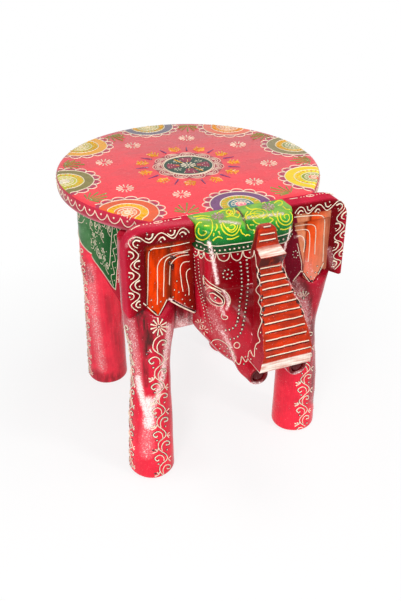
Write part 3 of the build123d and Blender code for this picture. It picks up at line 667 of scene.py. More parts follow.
def wear_and_light_along(strokes, mirror=True):
    """How far a point is rubbed or glazed, 0 to 1, by strokes of a cloth or brush, many of which are painted
    highlights and painted shade as well. A stroke is (points as the studio camera sees them, width in its
    points, strength)."""

    def measure(place, normal):
        if mirror and place.x > 0:
            place, normal = Vector((-place.x, place.y, place.z)), Vector((-normal.x, normal.y, normal.z))
        if normal.dot(Vector(CAMERA_PLACE) - place) < 0:
            return 0.0
        at, most = seen_at(place), 0.0
        for path, width, strength in strokes:
            for start, end in zip(path, path[1:]):
                start, along = Vector(start), Vector(end) - Vector(start)
                share = clamped((at - start).dot(along) / along.length_squared)
                apart = (at - start - along * share).length / width
                most = max(most, strength * max(0.0, 1.0 - apart * apart))
        return most

    return measure


GREEN_TOP, GREEN_FRONT_Y, GREEN_FRONT_LEAN = 0.286, -0.0233, 0.348
GREEN_UNDER, GREEN_CLIMB_FROM, GREEN_CLIMB = 0.187, 0.098, 0.75  # its foot climbs at the rear


def green_edge(place, normal):
    """How far inside the green field a point is, in mm."""
    front = place.y - GREEN_FRONT_Y - (GREEN_TOP - place.z) * GREEN_FRONT_LEAN
    under = place.z - GREEN_UNDER - max(0.0, place.y - GREEN_CLIMB_FROM) * GREEN_CLIMB
    return 1000 * min(front, under)


def flank_paint(tree, place):
    """Green field on a crimson ground, the green painted paler towards the rear in patches as a painted
    highlight.
    """
    field = add(tree, "Attribute", attribute_name="green_field").outputs["Fac"]
    wobble = mottle(tree, place, 120.0)
    shifted = add(tree, "Math", {0: wobble, 1: 1.2, 2: field}, operation="MULTIPLY_ADD")
    inside = add(tree, "MapRange", {0: shifted, 1: 0.4, 2: 0.9})
    apart = add(tree, "SeparateXYZ", {0: place})
    paled = add(tree, "MapRange", {0: apart.outputs["Y"], 1: 0.02, 2: 0.17})
    patch = mottle(tree, place, 90.0, 5.0)
    patchy = add(tree, "Math", {0: paled, 1: patch}, operation="MULTIPLY")
    green = add(tree, "Mix", {0: patchy, 6: "#0C5A22", 7: "#86B880"}, data_type="RGBA")
    # Crimson darkens up the front posts and stays bright on the rear ones.
    rise = add(tree, "MapRange", {0: apart.outputs["Z"], 1: 0.04, 2: 0.21})
    risen = add(tree, "ValToRGB", {0: rise}, ((0.0, "#F02A42"), (0.5, "#D81A36"), (1.0, "#B0122C")))
    rear = add(tree, "MapRange", {0: apart.outputs["Y"], 1: 0.0, 2: 0.08})
    crimson = add(tree, "Mix", {0: rear, 6: risen, 7: "#F2384E"}, data_type="RGBA")
    return add(tree, "Mix", {0: inside, 6: crimson, 7: green}, data_type="RGBA")


CHEST_RUB = ((((166, 316), (180, 324), (195, 321)), 12.0, 0.85),)
# Dark strokes on the chest just under the ears: painted shadow of the ears, with glaze.
CHEST_SHADOW_AND_GLAZE = ((((165, 306), (180, 312), (192, 316)), 11.0, 0.8),)
# The broad flanks are brushed matt, so their green stays deep from any side.
block_lacquer = lacquer("crimson_and_green_lacquered_block", flank_paint, nib=1.2, coat=0.05,
                        shine=0.0)
body = carved("body_block_painted", block_lacquer, "body_lacquer", "body_block", grain=0.002,
              sanding=2, fields={"green_field": green_edge, "rubbed_and_highlight": wear_and_light_along(CHEST_RUB),
                                 "glaze_and_shade": wear_and_light_along(CHEST_SHADOW_AND_GLAZE)})


# ---------------------------------------------------------------- posts
# Four posts rasped from squared blanks, the front two swelling to shoulders behind the ears. They
# are glued and dowelled to the body block. Their crimson lacquer is rubbed to the chalk ground where
# hands and feet touch them, with painted highlights down them in the same pale strokes, and dark glaze
# is left in the hollows, with painted shade under the ears and down the shaded side of a rear post.
POST_AXES = {"leg_front_left": (-0.092, -0.0615), "leg_front_right": (0.092, -0.0615),
             "leg_rear_left": (-0.087, 0.1205), "leg_rear_right": (0.087, 0.1205)}
POST_LEAN = {"leg_front_left": (-0.0027, -0.0085), "leg_front_right": (0.0, 0.002),
             "leg_rear_left": (0.0, 0.0), "leg_rear_right": (0.0, 0.0)}  # how far each foot stands out
POST_WAIST = 0.0028  # shaved off the outer side of the front posts and the front of the rear ones
WAIST_HEIGHT, WAIST_REACH, LEAN_FROM = 0.13, 0.055, 0.25
POST_RADIUS, SHOULDER_RADIUS = 0.024, 0.029
# Pale strokes: rubbing, and painted highlights of the strip lamps down the lacquered posts.
POST_RUBS_AND_HIGHLIGHTS = {
    "leg_front_left": (
        (((138, 378), (140.5, 392), (144, 405), (148, 416)), 4.6, 1.15),
        (((130, 322), (134, 345), (137, 372), (139, 385)), 6.0, 0.5),
        (((169, 326), (168, 340), (165.5, 355), (163, 375), (158, 395), (150, 412)), 4.2, 0.9),
        (((149, 402), (149, 414), (149, 425)), 7.8, 1.15),
        (((149, 420), (147, 436), (147, 452)), 9.0, 0.45)),
    "leg_front_right": (
        (((292, 280), (299, 290), (304, 304), (308, 325)), 9.0, 0.66),
        (((313, 320), (313, 360), (311, 400)), 4.0, 0.4)),
    "leg_rear_left": (
        (((90, 268), (93, 300), (97, 335), (102, 368)), 6.5, 0.5),
        (((86, 275), (88, 330), (90, 372)), 2.5, 0.35)),
    "leg_rear_right": ()}
# Dark strokes: glaze, and painted shade under the ears and down a rear post's shaded side.
POST_GLAZES_AND_SHADE = {
    "leg_front_left": (
        (((137, 310), (144, 325), (149, 340)), 9.0, 1.2),
        (((146, 340), (145.5, 362), (147, 385)), 3.6, 1.0),
        (((150, 330), (157, 340), (160, 352)), 6.0, 0.7)),
    "leg_rear_left": (
        (((106, 300), (115, 335), (122, 372)), 6.0, 0.35),
        (((94, 374), (104, 381), (118, 376)), 7.0, 0.6), (((84, 262), (90, 280)), 5.0, 0.6)),
    "leg_front_right": ((((297, 286), (303, 280), (311, 300), (313, 350), (312, 400)), 5.0, 0.7),),
    "leg_rear_right": ()}
OUTER_CUT = {  # height, and how far the outer side of a front post is cut back there
    "leg_front_left": ((0.08, 0.0), (0.12, 0.0012), (0.16, 0.003), (0.2, 0.0035), (0.216, 0.0025),
                       (0.3, 0.0025)),
    "leg_front_right": ((0.08, 0.0), (0.10, 0.0015), (0.12, 0.003), (0.14, 0.0068), (0.16, 0.0085),
                        (0.18, 0.0085), (0.2, 0.0062), (0.212, 0.003), (0.222, 0.0))}
NO_CUT = ((0.0, 0.0),)


def between(rows, height):
    """The values at a height, on straight lines between rows of (height, values), or zeros."""
    for low, high in zip(rows, rows[1:]):
        if low[0] <= height < high[0]:
            share = (height - low[0]) / (high[0] - low[0])
            return [first + (last - first) * share for first, last in zip(low[1:], high[1:])]
    return [0.0] * (len(rows[0]) - 1)


def whittled(post):
    """Each post leans, narrows at its waist and is cut back a little differently by hand."""
    axis, lean = Vector(POST_AXES[post]), Vector(POST_LEAN[post])
    side, rear = math.copysign(1, axis.x), axis.y > 0

    def shape(place):
        outward = (place.xy - axis).x * side
        outer = clamped((axis.y - place.y if rear else outward) / POST_RADIUS + 0.2)
        shave = POST_WAIST * outer * math.exp(-((place.z - WAIST_HEIGHT) / WAIST_REACH) ** 2)
        moved = place.xy + lean * clamped(1.0 - place.z / LEAN_FROM)
        if rear:
            moved.y += shave
        else:
            moved.x -= shave * side
        cut = between(OUTER_CUT.get(post, NO_CUT), place.z)[0]
        moved.x -= side * cut * clamped(outward / SHOULDER_RADIUS)
        return Vector((moved.x, moved.y, place.z))

    return shape


# The posts take more lacquer, which pools to a gloss and holds dust nibs.
post_lacquer = lacquer("crimson_and_green_lacquered_wood", flank_paint, nib=1.6)
posts = {post: carved(post + "_painted", post_lacquer, "leg_lacquer", post, hand=0.0006,
                      shape=whittled(post),
                      fields={"green_field": green_edge,
                              "rubbed_and_highlight": wear_and_light_along(POST_RUBS_AND_HIGHLIGHTS[post], mirror=False),
                              "glaze_and_shade": wear_and_light_along(POST_GLAZES_AND_SHADE[post], mirror=False)})
         for post in POST_AXES}


# ---------------------------------------------------------------- ears
# Two boards glued and dowelled to the front of the shoulders. A flat border frames two pleats cut
# as slanting folds. The border is dark crimson, and the folds are orange, gone peach on the
# elephant's left.
PLEAT_INSIDE, PLEAT_SIDE, EAR_SIDE = 0.0515, 0.1025, 0.121
PLEAT_SQUEEZE = {"left": 1.01, "right": 0.94}  # each ear's pleats are cut a little wider or narrower
# Fold colours; the brown in the valley between the two pleats is painted shade.
ORANGE_FOLDS = (  # from the head outwards over both pleats
    (0.0, "#7C0E10"), (0.2, "#A81A10"), (0.36, "#E03A0C"), (0.43, "#B02C10"), (0.46, "#6E2A14"),
    (0.5, "#8E2C12"), (0.57, "#C8380E"), (0.7, "#E64008"), (0.9, "#E23E0A"), (1.0, "#9A2A12"))
PEACH_FOLDS = (
    (0.0, "#D9825A"), (0.4, "#D98A62"), (0.44, "#B8562E"), (0.47, "#6E2410"), (0.52, "#E8480F"),
    (0.65, "#F0551E"), (0.82, "#F07C50"), (0.93, "#F09670"), (1.0, "#E87850"))
# Pale strokes on the ears' edges and corners: painted highlights, with some rubbing.
EAR_RUBS_AND_HIGHLIGHTS = ((((170, 299.5), (183, 306.5), (195, 312.5)), 1.9, 1.4),
            (((119, 270), (121, 315)), 3.0, 0.3), (((126.5, 246), (129.5, 241), (134, 237)), 2.4, 0.5),
            (((122, 233), (135, 226), (190, 222)), 3.0, 0.2))
RIGHT_EAR_RUBS_AND_HIGHLIGHTS = ((((307, 262), (314, 283)), 5.0, 0.35), (((329, 250), (333, 266)), 4.0, 0.4),
                  (((295, 237), (301, 236), (305, 241)), 2.0, 0.5))


def pleats_fitted(side):
    """Widens or narrows the pleats of one ear, and its border the other way."""
    inner, squeeze = PLEAT_INSIDE, PLEAT_SQUEEZE[side]
    cut = inner + (PLEAT_SIDE - inner) * squeeze

    def shape(place):
        across = abs(place.x)
        if across > PLEAT_SIDE:
            across = EAR_SIDE - (EAR_SIDE - across) * (EAR_SIDE - cut) / (EAR_SIDE - PLEAT_SIDE)
        elif across > inner:
            across = inner + (across - inner) * squeeze
        return Vector((math.copysign(across, place.x), place.y, place.z))
    return shape


def pleat_edge(side):
    cut = PLEAT_INSIDE + (PLEAT_SIDE - PLEAT_INSIDE) * PLEAT_SQUEEZE[side]

    def measure(place, normal):
        """How far inside the two orange pleats a point of the ear's front is, in mm."""
        top = 0.2905 if side == "left" else 0.2925 + max(0.0, PLEAT_SIDE - place.x) * 0.06
        return 1000 * min(cut - abs(place.x), top - place.z, -0.0745 - place.y)
    return measure


def ear_paint(tree, place):
    """Crimson border round streaky folds, with dark glaze and painted shade along the edge of the recess."""
    field = add(tree, "Attribute", attribute_name="pleats").outputs["Fac"]
    inside = add(tree, "MapRange", {0: field, 1: -0.3, 2: 0.3})
    apart = add(tree, "SeparateXYZ", {0: place})
    front = add(tree, "MapRange", {0: apart.outputs["Y"], 1: -0.088, 2: -0.0915})
    edge = add(tree, "MapRange", {0: field, 1: -19.0, 2: -9.0})
    border = add(tree, "Mix", {0: edge, 6: "#B5132B", 7: "#6E0810"}, data_type="RGBA")
    outer = add(tree, "Mix", {0: front, 6: "#CB2440", 7: border}, data_type="RGBA")
    # The folds: bright orange outside, brown in the valley as painted shade, deep red beside the head.
    reach = add(tree, "Math", {0: apart.outputs["X"]}, operation="ABSOLUTE")
    fold = add(tree, "MapRange", {0: reach, 1: PLEAT_INSIDE, 2: PLEAT_SIDE})
    folds = add(tree, "ValToRGB", {0: fold}, ORANGE_FOLDS)
    patch = mottle(tree, place, 260.0, 5.0, drawn=(1.0, 1.0, 0.2))
    patchy = add(tree, "MapRange", {0: patch, 1: 0.36, 2: 0.56, 3: 0.55, 4: 0.0})
    orange = add(tree, "Mix", {0: patchy, 6: folds, 7: "#7E2410"}, data_type="RGBA")
    # The folds of the elephant's left ear have faded to peach, more so at the foot and outside.
    sunny = add(tree, "MapRange", {0: apart.outputs["X"], 1: 0.0, 2: 0.01})
    peach_folds = add(tree, "ValToRGB", {0: fold}, PEACH_FOLDS)
    mottled = add(tree, "MapRange", {0: patch, 1: 0.35, 2: 0.65, 3: 0.25, 4: 0.0})
    low = add(tree, "MapRange", {0: apart.outputs["Z"], 1: 0.262, 2: 0.215, 3: 0.0, 4: 0.55})
    pale = add(tree, "Mix", {0: low, 6: peach_folds, 7: "#F2A488"}, data_type="RGBA")
    peach = add(tree, "Mix", {0: mottled, 6: pale, 7: "#B8502A"}, data_type="RGBA")
    # Beside the head its inner pleat is maroon.
    bound = add(tree, "Math", {0: apart.outputs["Z"], 1: -0.24, 2: 0.0667 + 0.2613 * 0.24},
                operation="MULTIPLY_ADD")
    within = add(tree, "Math", {0: bound, 1: apart.outputs["X"]}, operation="SUBTRACT")
    dark_side = add(tree, "MapRange", {0: within, 1: -0.0006, 2: 0.0006})
    left_ear = add(tree, "Mix", {0: dark_side, 6: peach, 7: "#7A1226"}, data_type="RGBA")
    paled = add(tree, "Mix", {0: sunny, 6: orange, 7: left_ear}, data_type="RGBA")
    # Dark glaze and the painted shade of the recess wall lie along the edge of the recess, more of it on the
    # right ear.
    edged = add(tree, "MapRange", {0: field, 1: 0.5, 2: 5.5, 3: 0.85, 4: 0.0})
    thinner = add(tree, "MapRange", {0: sunny, 1: 0.0, 2: 1.0, 3: 1.0, 4: 0.4})
    corner = add(tree, "Math", {0: edged, 1: thinner}, operation="MULTIPLY")
    pleat = add(tree, "Mix", {0: corner, 6: paled, 7: "#4A140E"}, data_type="RGBA")
    return add(tree, "Mix", {0: inside, 6: outer, 7: pleat}, data_type="RGBA")


# The ear boards have one thin coat, so the carved folds show without glare.
ear_lacquer = lacquer("crimson_and_orange_lacquered_wood", ear_paint, coat=0.08, shine=0.0)
ears = {side: carved("ear_" + side + "_painted", ear_lacquer, "ear_lacquer", "ear_" + side,
                     grain=0.001, sanding=2, hand=0.0003, shape=pleats_fitted(side),
                     fields={"pleats": pleat_edge(side),
                             "rubbed_and_highlight": wear_and_light_along(rubs, mirror=False)})
        for side, rubs in (("left", EAR_RUBS_AND_HIGHLIGHTS), ("right", RIGHT_EAR_RUBS_AND_HIGHLIGHTS))}


# ---------------------------------------------------------------- head
# Crown, forehead, cheeks and tusk sheaths are carved from one block, dowelled on between the ears.
# It has the glossiest lacquer: maroon on the face, green on the crown, with pale strokes at brows and eyes
# that are painted highlights as well as rubbing.
HEAD_HALF, HEAD_BACK, HEAD_FACE = 0.0515, -0.085, -0.1055
HEAD_CORNER = 0.02  # radius of the head's front corners, seen from above
CORNER_FOOT, CORNER_RISE = 0.19, 0.025  # the corners are sharp at the foot and round above
CROWN_LEAN, CROWN_FOOT, JAW_LIFT, JAW_PLACE = 0.0026, 0.25, 0.009, -0.107
TUSK_ACROSS, TUSK_HEIGHT, SHEATH_MOUTH, AWAY_FROM_TUSK = 0.021, 0.176, -0.1735, 30.0
HEAD_BULGES = (
    # swelling of the wood: centre on the elephant's right half, reach, height, in mm
    ((-50, -104, 243), 11, 4.5),   # brow over the eye
    ((-44, -108, 232), 9, 2.5),
    ((-49, -110, 222), 8, -1.5),   # hollow under the eye
    ((-38, -132, 200), 12, 0.8),   # cheek
    ((-30, -158, 178), 11, 3.5))   # jaw beside the tusk
# The crown's greens darken to its foot as painted shade and lighten to its top as painted light.
CROWN_GREENS = (  # from the band up over the crown
    (0.0, "#0E5420"), (0.4, "#178A34"), (0.75, "#34A02E"), (0.88, "#74B52E"), (1.0, "#93BE38"))
# Pale strokes on the face: painted highlights down the front corners and on the brows, with rubbing on
# cheeks and jaw.
HEAD_RUBS_AND_HIGHLIGHTS = (
    (((209, 243), (211.5, 253), (214, 265), (217.3, 283)), 2.7, 1.2),
    (((223.5, 291), (227, 297), (228.5, 303), (226.5, 309)), 2.3, 0.9),
    (((222, 303), (221.5, 309), (224, 315)), 2.6, 0.7),
    (((206, 288), (209, 298), (216, 305), (221, 311)), 5.0, 0.4),
    (((211, 312), (218, 325), (226, 340)), 7.0, 0.45),
    (((222, 332), (229, 344), (234.5, 359)), 3.2, 0.75),
    (((205, 322), (220, 340), (231, 354)), 7.0, 0.25),
    (((252, 384), (262, 383)), 3.0, 0.7))
# Dark strokes: painted shade in the crease under the jaw and beside the ear, with glaze.
HEAD_GLAZES_AND_SHADE = ((((243, 384), (254, 374)), 2.2, 0.8), (((196, 262), (200, 285), (205, 300)), 5.0, 0.6))


def head_carving(place):
    """Rounds the front corners, bows the front and swells the brows and cheeks."""
    x, y, z = place
    corner = clamped((z - CORNER_FOOT) / CORNER_RISE)
    if y < HEAD_BACK and corner > 0:
        share = min(1.0, (HEAD_BACK - y) / (HEAD_BACK - HEAD_FACE))
        across = (abs(x) - HEAD_HALF + HEAD_CORNER) / HEAD_CORNER
        deep = (HEAD_FACE + HEAD_CORNER - y) / HEAD_CORNER
        if across > 0 and deep > 0:
            scale = max(across, deep) / math.hypot(across, deep)
            x -= math.copysign(across * (1 - scale) * HEAD_CORNER * corner, x)
            y += deep * (1 - scale) * HEAD_CORNER * corner
        y -= (0.0055 - 2.2 * x * x + 0.04 * x) * share * corner
    # The crown stands out a little further on the elephant's left.
    x += CROWN_LEAN * clamped(x / HEAD_HALF) * clamped((z - CROWN_FOOT) / 0.018)
    # The jaw runs straight up to the neck.
    aside = clamped((abs(x) - 0.03) / 0.015)
    beneath = clamped((0.2 - z) / 0.02)
    z += JAW_LIFT * math.exp(-((y - JAW_PLACE) / 0.03) ** 2) * aside * beneath
    moved = Vector((x, y, z))
    for centre, reach, height in HEAD_BULGES:
        heart = Vector((math.copysign(centre[0], x), centre[1], centre[2])) / 1000
        apart = (moved - heart).length * 1000 / reach
        if apart < 3:
            away = Vector((math.copysign(0.75, x), -0.65, 0.0)).normalized()
            moved += away * height / 1000 * math.exp(-apart * apart)
    return moved


# Pale strokes that are painted highlights along the crown's top edge.
CROWN_HIGHLIGHTS = (  # along the front of its top edge
    (((220, 221.5), (230, 222), (240, 223.5)), 2.1, 0.75),
    (((244, 218.5), (262, 215.8), (283, 213.6)), 2.2, 0.8),
    (((189, 217.8), (199, 219), (209, 220)), 1.6, 0.5))
# A dark stroke of painted shade in the groove between the crown's two lobes.
NOTCH_SHADE = ((((235.6, 207.7), (241.4, 214), (245.2, 223), (248, 230)), 1.6, 1.5),)


def crown_wear_and_light(rubs_or_glazes, crown_strokes):
    """Strokes mirrored over both halves of the head, with some on the crown as they are."""
    both, crown_only = wear_and_light_along(rubs_or_glazes), wear_and_light_along(crown_strokes, mirror=False)
    return lambda place, normal: max(both(place, normal), crown_only(place, normal))


def on_face(place):
    return 0.205 < place.z < 0.268 and place.y < -0.09


def crown_edge(place, normal):
    return 1000 * (place.z - 0.2855)


def tusk_ring(place, normal):
    """How far from the middle of a tusk a point on the mouth of its sheath is, in mm."""
    if place.y > SHEATH_MOUTH:
        return AWAY_FROM_TUSK
    return 1000 * math.hypot(abs(place.x) - TUSK_ACROSS, place.z - TUSK_HEIGHT)


def facing_side(place, normal):
    """How far a point faces sideways."""
    return abs(normal.x)


def head_paint(tree, place):
    """Maroon face with painted light on its sides, green crown over a darker band with painted light on its
    top, and dark mouths of the tusk sheaths.
    """
    height = add(tree, "Attribute", attribute_name="crown_rise").outputs["Fac"]
    sideways = add(tree, "Attribute", attribute_name="sideways").outputs["Fac"]
    apart = add(tree, "SeparateXYZ", {0: place})
    # Maroon is darker up the forehead and brightens to crimson at the jaw. The sides are painted brighter
    #     # crimson than the front where they face sideways: painted light, as if the lamps lit them.
    low = add(tree, "MapRange", {0: apart.outputs["Z"], 1: 0.2, 2: 0.235})
    front = add(tree, "Mix", {0: low, 6: "#C01A2E", 7: "#840310"}, data_type="RGBA")
    turned = add(tree, "MapRange", {0: sideways, 1: 0.35, 2: 0.9})
    face_shade = add(tree, "Mix", {0: turned, 6: front, 7: "#B61229"}, data_type="RGBA")
    patch = mottle(tree, place, 140.0, 4.0)
    patchy = add(tree, "MapRange", {0: patch, 1: 0.45, 2: 0.7, 3: 0.0, 4: 0.6})
    # The green is painted lighter up to the crown's top as painted light, darker at its foot as painted
    # shade.
    lit = add(tree, "MapRange", {0: apart.outputs["Z"], 1: 0.286, 2: 0.307})
    greens = add(tree, "ValToRGB", {0: lit}, CROWN_GREENS)
    green = add(tree, "Mix", {0: patchy, 6: greens, 7: "#1E7A2A"}, data_type="RGBA")
    band = add(tree, "MapRange", {0: height, 1: -0.3, 2: 0.3})
    crown = add(tree, "Mix", {0: band, 6: "#0E4A22", 7: green}, data_type="RGBA")
    crown_on = add(tree, "MapRange", {0: height, 1: -8.8, 2: -8.2})
    colour = add(tree, "Mix", {0: crown_on, 6: face_shade, 7: crown}, data_type="RGBA")
    # The mouths of the tusk sheaths are as dark as the tusks, above a rubbed lower rim.
    round_tusk = add(tree, "Attribute", attribute_name="tusk_ring").outputs["Fac"]
    mouth = add(tree, "MapRange", {0: round_tusk, 1: 9.6, 2: 9.0})
    rim = add(tree, "MapRange", {0: round_tusk, 1: 11.5, 2: 10.8})
    below = add(tree, "MapRange", {0: apart.outputs["Z"], 1: 0.171, 2: 0.167})
    low_rim = add(tree, "Math", {0: rim, 1: below}, operation="MULTIPLY")
    rimmed = add(tree, "Mix", {0: low_rim, 6: colour, 7: "#D98A90"}, data_type="RGBA")
    return add(tree, "Mix", {0: mouth, 6: rimmed, 7: "#6A0A10"}, data_type="RGBA")


# The head is lacquered thickest and polished, and mirrors the soft boxes at its corners.
head_lacquer = lacquer("maroon_and_green_lacquered_wood", head_paint, gloss=0.14, nib=0.4,
                       cloudy=0.35, coat=0.4)
head = carved("head_block_painted", head_lacquer, "head_lacquer", "head_block", grain=0.0012,
              sanding=4, hand=0.0004,
              softened=((on_face, 110),), shape=head_carving,
              fields={"crown_rise": crown_edge, "sideways": facing_side,
                      "tusk_ring": tusk_ring,
                      "rubbed_and_highlight": crown_wear_and_light(HEAD_RUBS_AND_HIGHLIGHTS, CROWN_HIGHLIGHTS),
                      "glaze_and_shade": crown_wear_and_light(HEAD_GLAZES_AND_SHADE, NOTCH_SHADE)})


# ---------------------------------------------------------------- trunk
# The raised trunk is a piece of its own, dowelled to the snout: a flat orange front with maroon
# # sides, a pale ledge under its thin tip and a pale lip at its mouth, rubbed bare and painted pale
# # as highlights where they face up and forward.
LEDGE_TOP, LEDGE_LOW, LIP_TOP = 0.2955, 0.2902, 0.2015
TRUNK_BEND, BEND_HEIGHT, BEND_REACH = 0.0028, 0.2375, 0.034  # it bows a little to one side
LEDGE_SET = (  # height, and how far the ledge is set back and raised there
    (0.278, 0.0, 0.0), (0.286, 0.006, 0.005), (0.296, 0.0065, 0.0), (0.317, 0.0, 0.0))


def trunk_bend(height):
    return TRUNK_BEND * max(0.0, 1.0 - ((height - BEND_HEIGHT) / BEND_REACH) ** 2)


def flared(place):
    """The trunk spreads at its mouth, and its ledge is cut high and shallow."""
    x, y, z = place
    low = clamped((0.209 - z) / 0.018)
    x *= 1.04 + (0.14 if x < 0 else 0.02) * low
    set_back, raised = between(LEDGE_SET, z)
    y, z = y + set_back, z + raised
    # It bends a little to one side, and its tip is whittled to a thin plate with rounded corners.
    x += trunk_bend(place.z)
    thin = clamped((place.z - 0.279) / 0.007)
    deep = max(0.0, 1000 * (y + 0.143) - 5.0)
    x *= 1.0 - thin * min(0.75, 0.04 * deep)
    over = max(0.0, place.z - 0.311)
    x *= math.sqrt(1.0 - (over / 0.0075) ** 2)
    return Vector((x, y, z - 0.4 * over))


def bare_wood_and_highlight(place, normal):
    """The ledge and the lip, where the paint is rubbed off to the pale ground and a painted highlight is
    laid where they face up and forward.
    """
    ledge = -1.0
    if normal.z > 0.3 and normal.y < 0.2 and abs(normal.x) < 0.6:
        ledge = min(place.z - LEDGE_LOW, LEDGE_TOP - place.z)
    lip = min(LIP_TOP - place.z, 0.01) if normal.y < -0.25 or place.z < 0.193 else -1.0
    return 1000 * max(ledge, lip)


def shadow_under_ledge(place, normal):
    """How thick the painted shadow under the ledge lies, darkened with glaze."""
    if normal.y > 0.3 or abs(normal.x) > 0.7 or place.z > 0.2905:
        return 0.0
    return 1.5 * clamped((place.z - 0.277) / 0.004)


def trunk_paint(tree, place):
    """Streaky orange in front, maroon sides, and the chalk ground, painted pale as a highlight too, on the
    ledge and the lip.
    """
    side = add(tree, "Attribute", attribute_name="side").outputs["Fac"]
    on_side = add(tree, "MapRange", {0: side, 1: 0.55, 2: 0.7})
    patch = mottle(tree, place, 240.0, 5.0, drawn=(0.25, 1.0, 1.0))
    patchy = add(tree, "MapRange", {0: patch, 1: 0.38, 2: 0.6})
    orange = add(tree, "Mix", {0: patchy, 6: "#98240A", 7: "#C93006"}, data_type="RGBA")
    rise = add(tree, "SeparateXYZ", {0: place}).outputs["Z"]
    height = add(tree, "MapRange", {0: rise, 1: 0.2, 2: 0.235})
    maroon = add(tree, "Mix", {0: height, 6: "#B81A2E", 7: "#840310"}, data_type="RGBA")
    painted = add(tree, "Mix", {0: on_side, 6: orange, 7: maroon}, data_type="RGBA")
    # Brush streaks of the chalk ground show across the ledge and the lip, whose pale paint also stands for a
    # painted highlight.
    streaks = mottle(tree, place, 500.0, 3.0, drawn=(0.12, 1.0, 1.0))
    share = add(tree, "MapRange", {0: streaks, 1: 0.35, 2: 0.65})
    chalk_and_highlight = add(tree, "Mix", {0: share, 6: "#D99A88", 7: "#F8EFE2"}, data_type="RGBA")
    bare_and_sheen = add(tree, "Attribute", attribute_name="bare_and_sheen").outputs["Fac"]
    bared_and_lit = add(tree, "MapRange", {0: bare_and_sheen, 1: -0.4, 2: 0.8})
    return add(tree, "Mix", {0: bared_and_lit, 6: painted, 7: chalk_and_highlight}, data_type="RGBA")


TRUNK_RUBS = (
    (((279.9, 262), (284.8, 272), (297, 298.5), (303, 311.7), (308.7, 326.3)), 1.2, 0.6),)
# Orange over chalk, with the satin shine of a single coat.
trunk_lacquer = lacquer("orange_lacquered_wood", trunk_paint, gloss=0.25)
trunk = carved("trunk_painted", trunk_lacquer, "trunk_lacquer", "trunk", grain=0.001, sanding=2,
               hand=0.0002, shape=flared,
               fields={"side": facing_side, "bare_and_sheen": bare_wood_and_highlight, "glaze_and_shade": shadow_under_ledge,
                       "rubbed_and_highlight": wear_and_light_along(TRUNK_RUBS, mirror=False)})


# ---------------------------------------------------------------- tusks and dowels
# Two short turned stubs, glossy and nearly black, are glued into the recesses of the sheaths. The
# dowels that hold the stool together are plain turned beech, hidden in blind bores.
def tusk_paint(tree, place):
    """One even maroon, nearly black."""
    return add(tree, "Mix", {0: 0.5, 6: "#3A0208", 7: "#6A0A10"}, data_type="RGBA")


# Smooth turned wood under thick maroon lacquer, close to a mirror.
tusk_lacquer = lacquer("dark_maroon_lacquered_wood", tusk_paint, nib=0.3, gloss=0.1, coat=0.5)
for side in ("left", "right"):
    carved("tusk_" + side + "_painted", tusk_lacquer, "tusk_lacquer", "tusk_" + side,
           grain=0.0006, sanding=2)


def beech_paint(tree, place):
    """Fine growth rings, drawn about 2.5 mm apart so that they show."""
    rings = mottle(tree, place, 400.0, 3.0)
    return add(tree, "Mix", {0: rings, 6: "#C79A6B", 7: "#E0BC8E"}, data_type="RGBA")


# Turned beech without paint, pale and dull.
beech = lacquer("bare_turned_beech", beech_paint, gloss=0.5)
for dowel in ("seat_dowels", "leg_dowels", "ear_dowels", "head_dowels", "trunk_dowel"):
    nodes[dowel].data.materials.clear()
    nodes[dowel].data.materials.append(beech)


# ---------------------------------------------------------------- relief paint on the ears
# A cream wave with hooks runs round the border, and nested lines follow the folds of the pleats.
# The border is set out as the studio camera sees the elephant's right ear, and mirrored.
EAR_WAVE = ((189.2, 232.7), (187, 229.8), (183.3, 228), (180, 229.4), (177.8, 232.7), (175.3, 236.8),
            (172, 238.2), (167.9, 236), (164.3, 233.8), (161.3, 232.9), (157.7, 234.6), (154.7, 237.9),
            (151.1, 241.9), (148.1, 242.6), (144.5, 241.2), (140.8, 238.6), (137.1, 237.3),
            (132.7, 237.9), (129.4, 240.1), (128.7, 243.4), (131.3, 248.1), (135.7, 251.4),
            (138.6, 254.7), (137.1, 258.8), (132.7, 262.8), (130.5, 266.5), (132.7, 269.8),
            (137.1, 272.7), (139.7, 275.3), (137.9, 279.3), (132.7, 283.3), (130.2, 287),
            (132.7, 290.7), (137.1, 292.9), (139.7, 295.4), (138.2, 299.1), (133.5, 302.8),
            (131.3, 305.3), (133.5, 308.3), (137.5, 311.2))
EAR_HOOKS = (
    # from the fat end to the thin one, then the dot inside
    ((175.1, 230), (174, 233.8), (170.9, 235.6), (167.3, 233.6), (170.5, 230.9)),
    ((152.9, 233.6), (152, 237), (148.9, 239.3), (144.9, 237.9), (147, 234.6)),
    ((185.9, 234.2), (183.7, 232), (181.1, 232.4), (179.4, 234.4), (181.9, 236.4)),
    ((165, 239.7), (162.8, 237.1), (160.6, 237.7), (158.4, 240.4), (160.6, 241.5)),
    ((128.4, 251.8), (132, 252.5), (133.8, 255.5), (132.7, 258), (130.5, 259.5), (128.7, 256.2)),
    ((128.4, 272.7), (132, 273.1), (133.8, 275.3), (133.1, 278.2), (130.5, 279.7), (129.4, 277.1)),
    ((128.7, 293.2), (132, 293.6), (133.8, 295.8), (133.1, 298.7), (130.5, 299.8), (129.8, 297.3)),
    ((139.7, 241.2), (135.7, 240.4), (133.1, 243), (134.2, 246.3), (137.5, 248.1), (137.7, 245.3)),
    ((139.7, 260.6), (136, 261.7), (134.2, 265), (135.7, 267.9), (138.6, 269), (139, 266.1)),
    ((139.7, 280.4), (136.4, 282.6), (135.3, 285.5), (137.1, 288.8), (141.2, 289.6), (139.7, 286.4)),
    ((140.1, 300.6), (137.1, 302.4), (136, 305.3), (137.9, 307.5), (140.8, 307.2), (140.1, 304.6)))
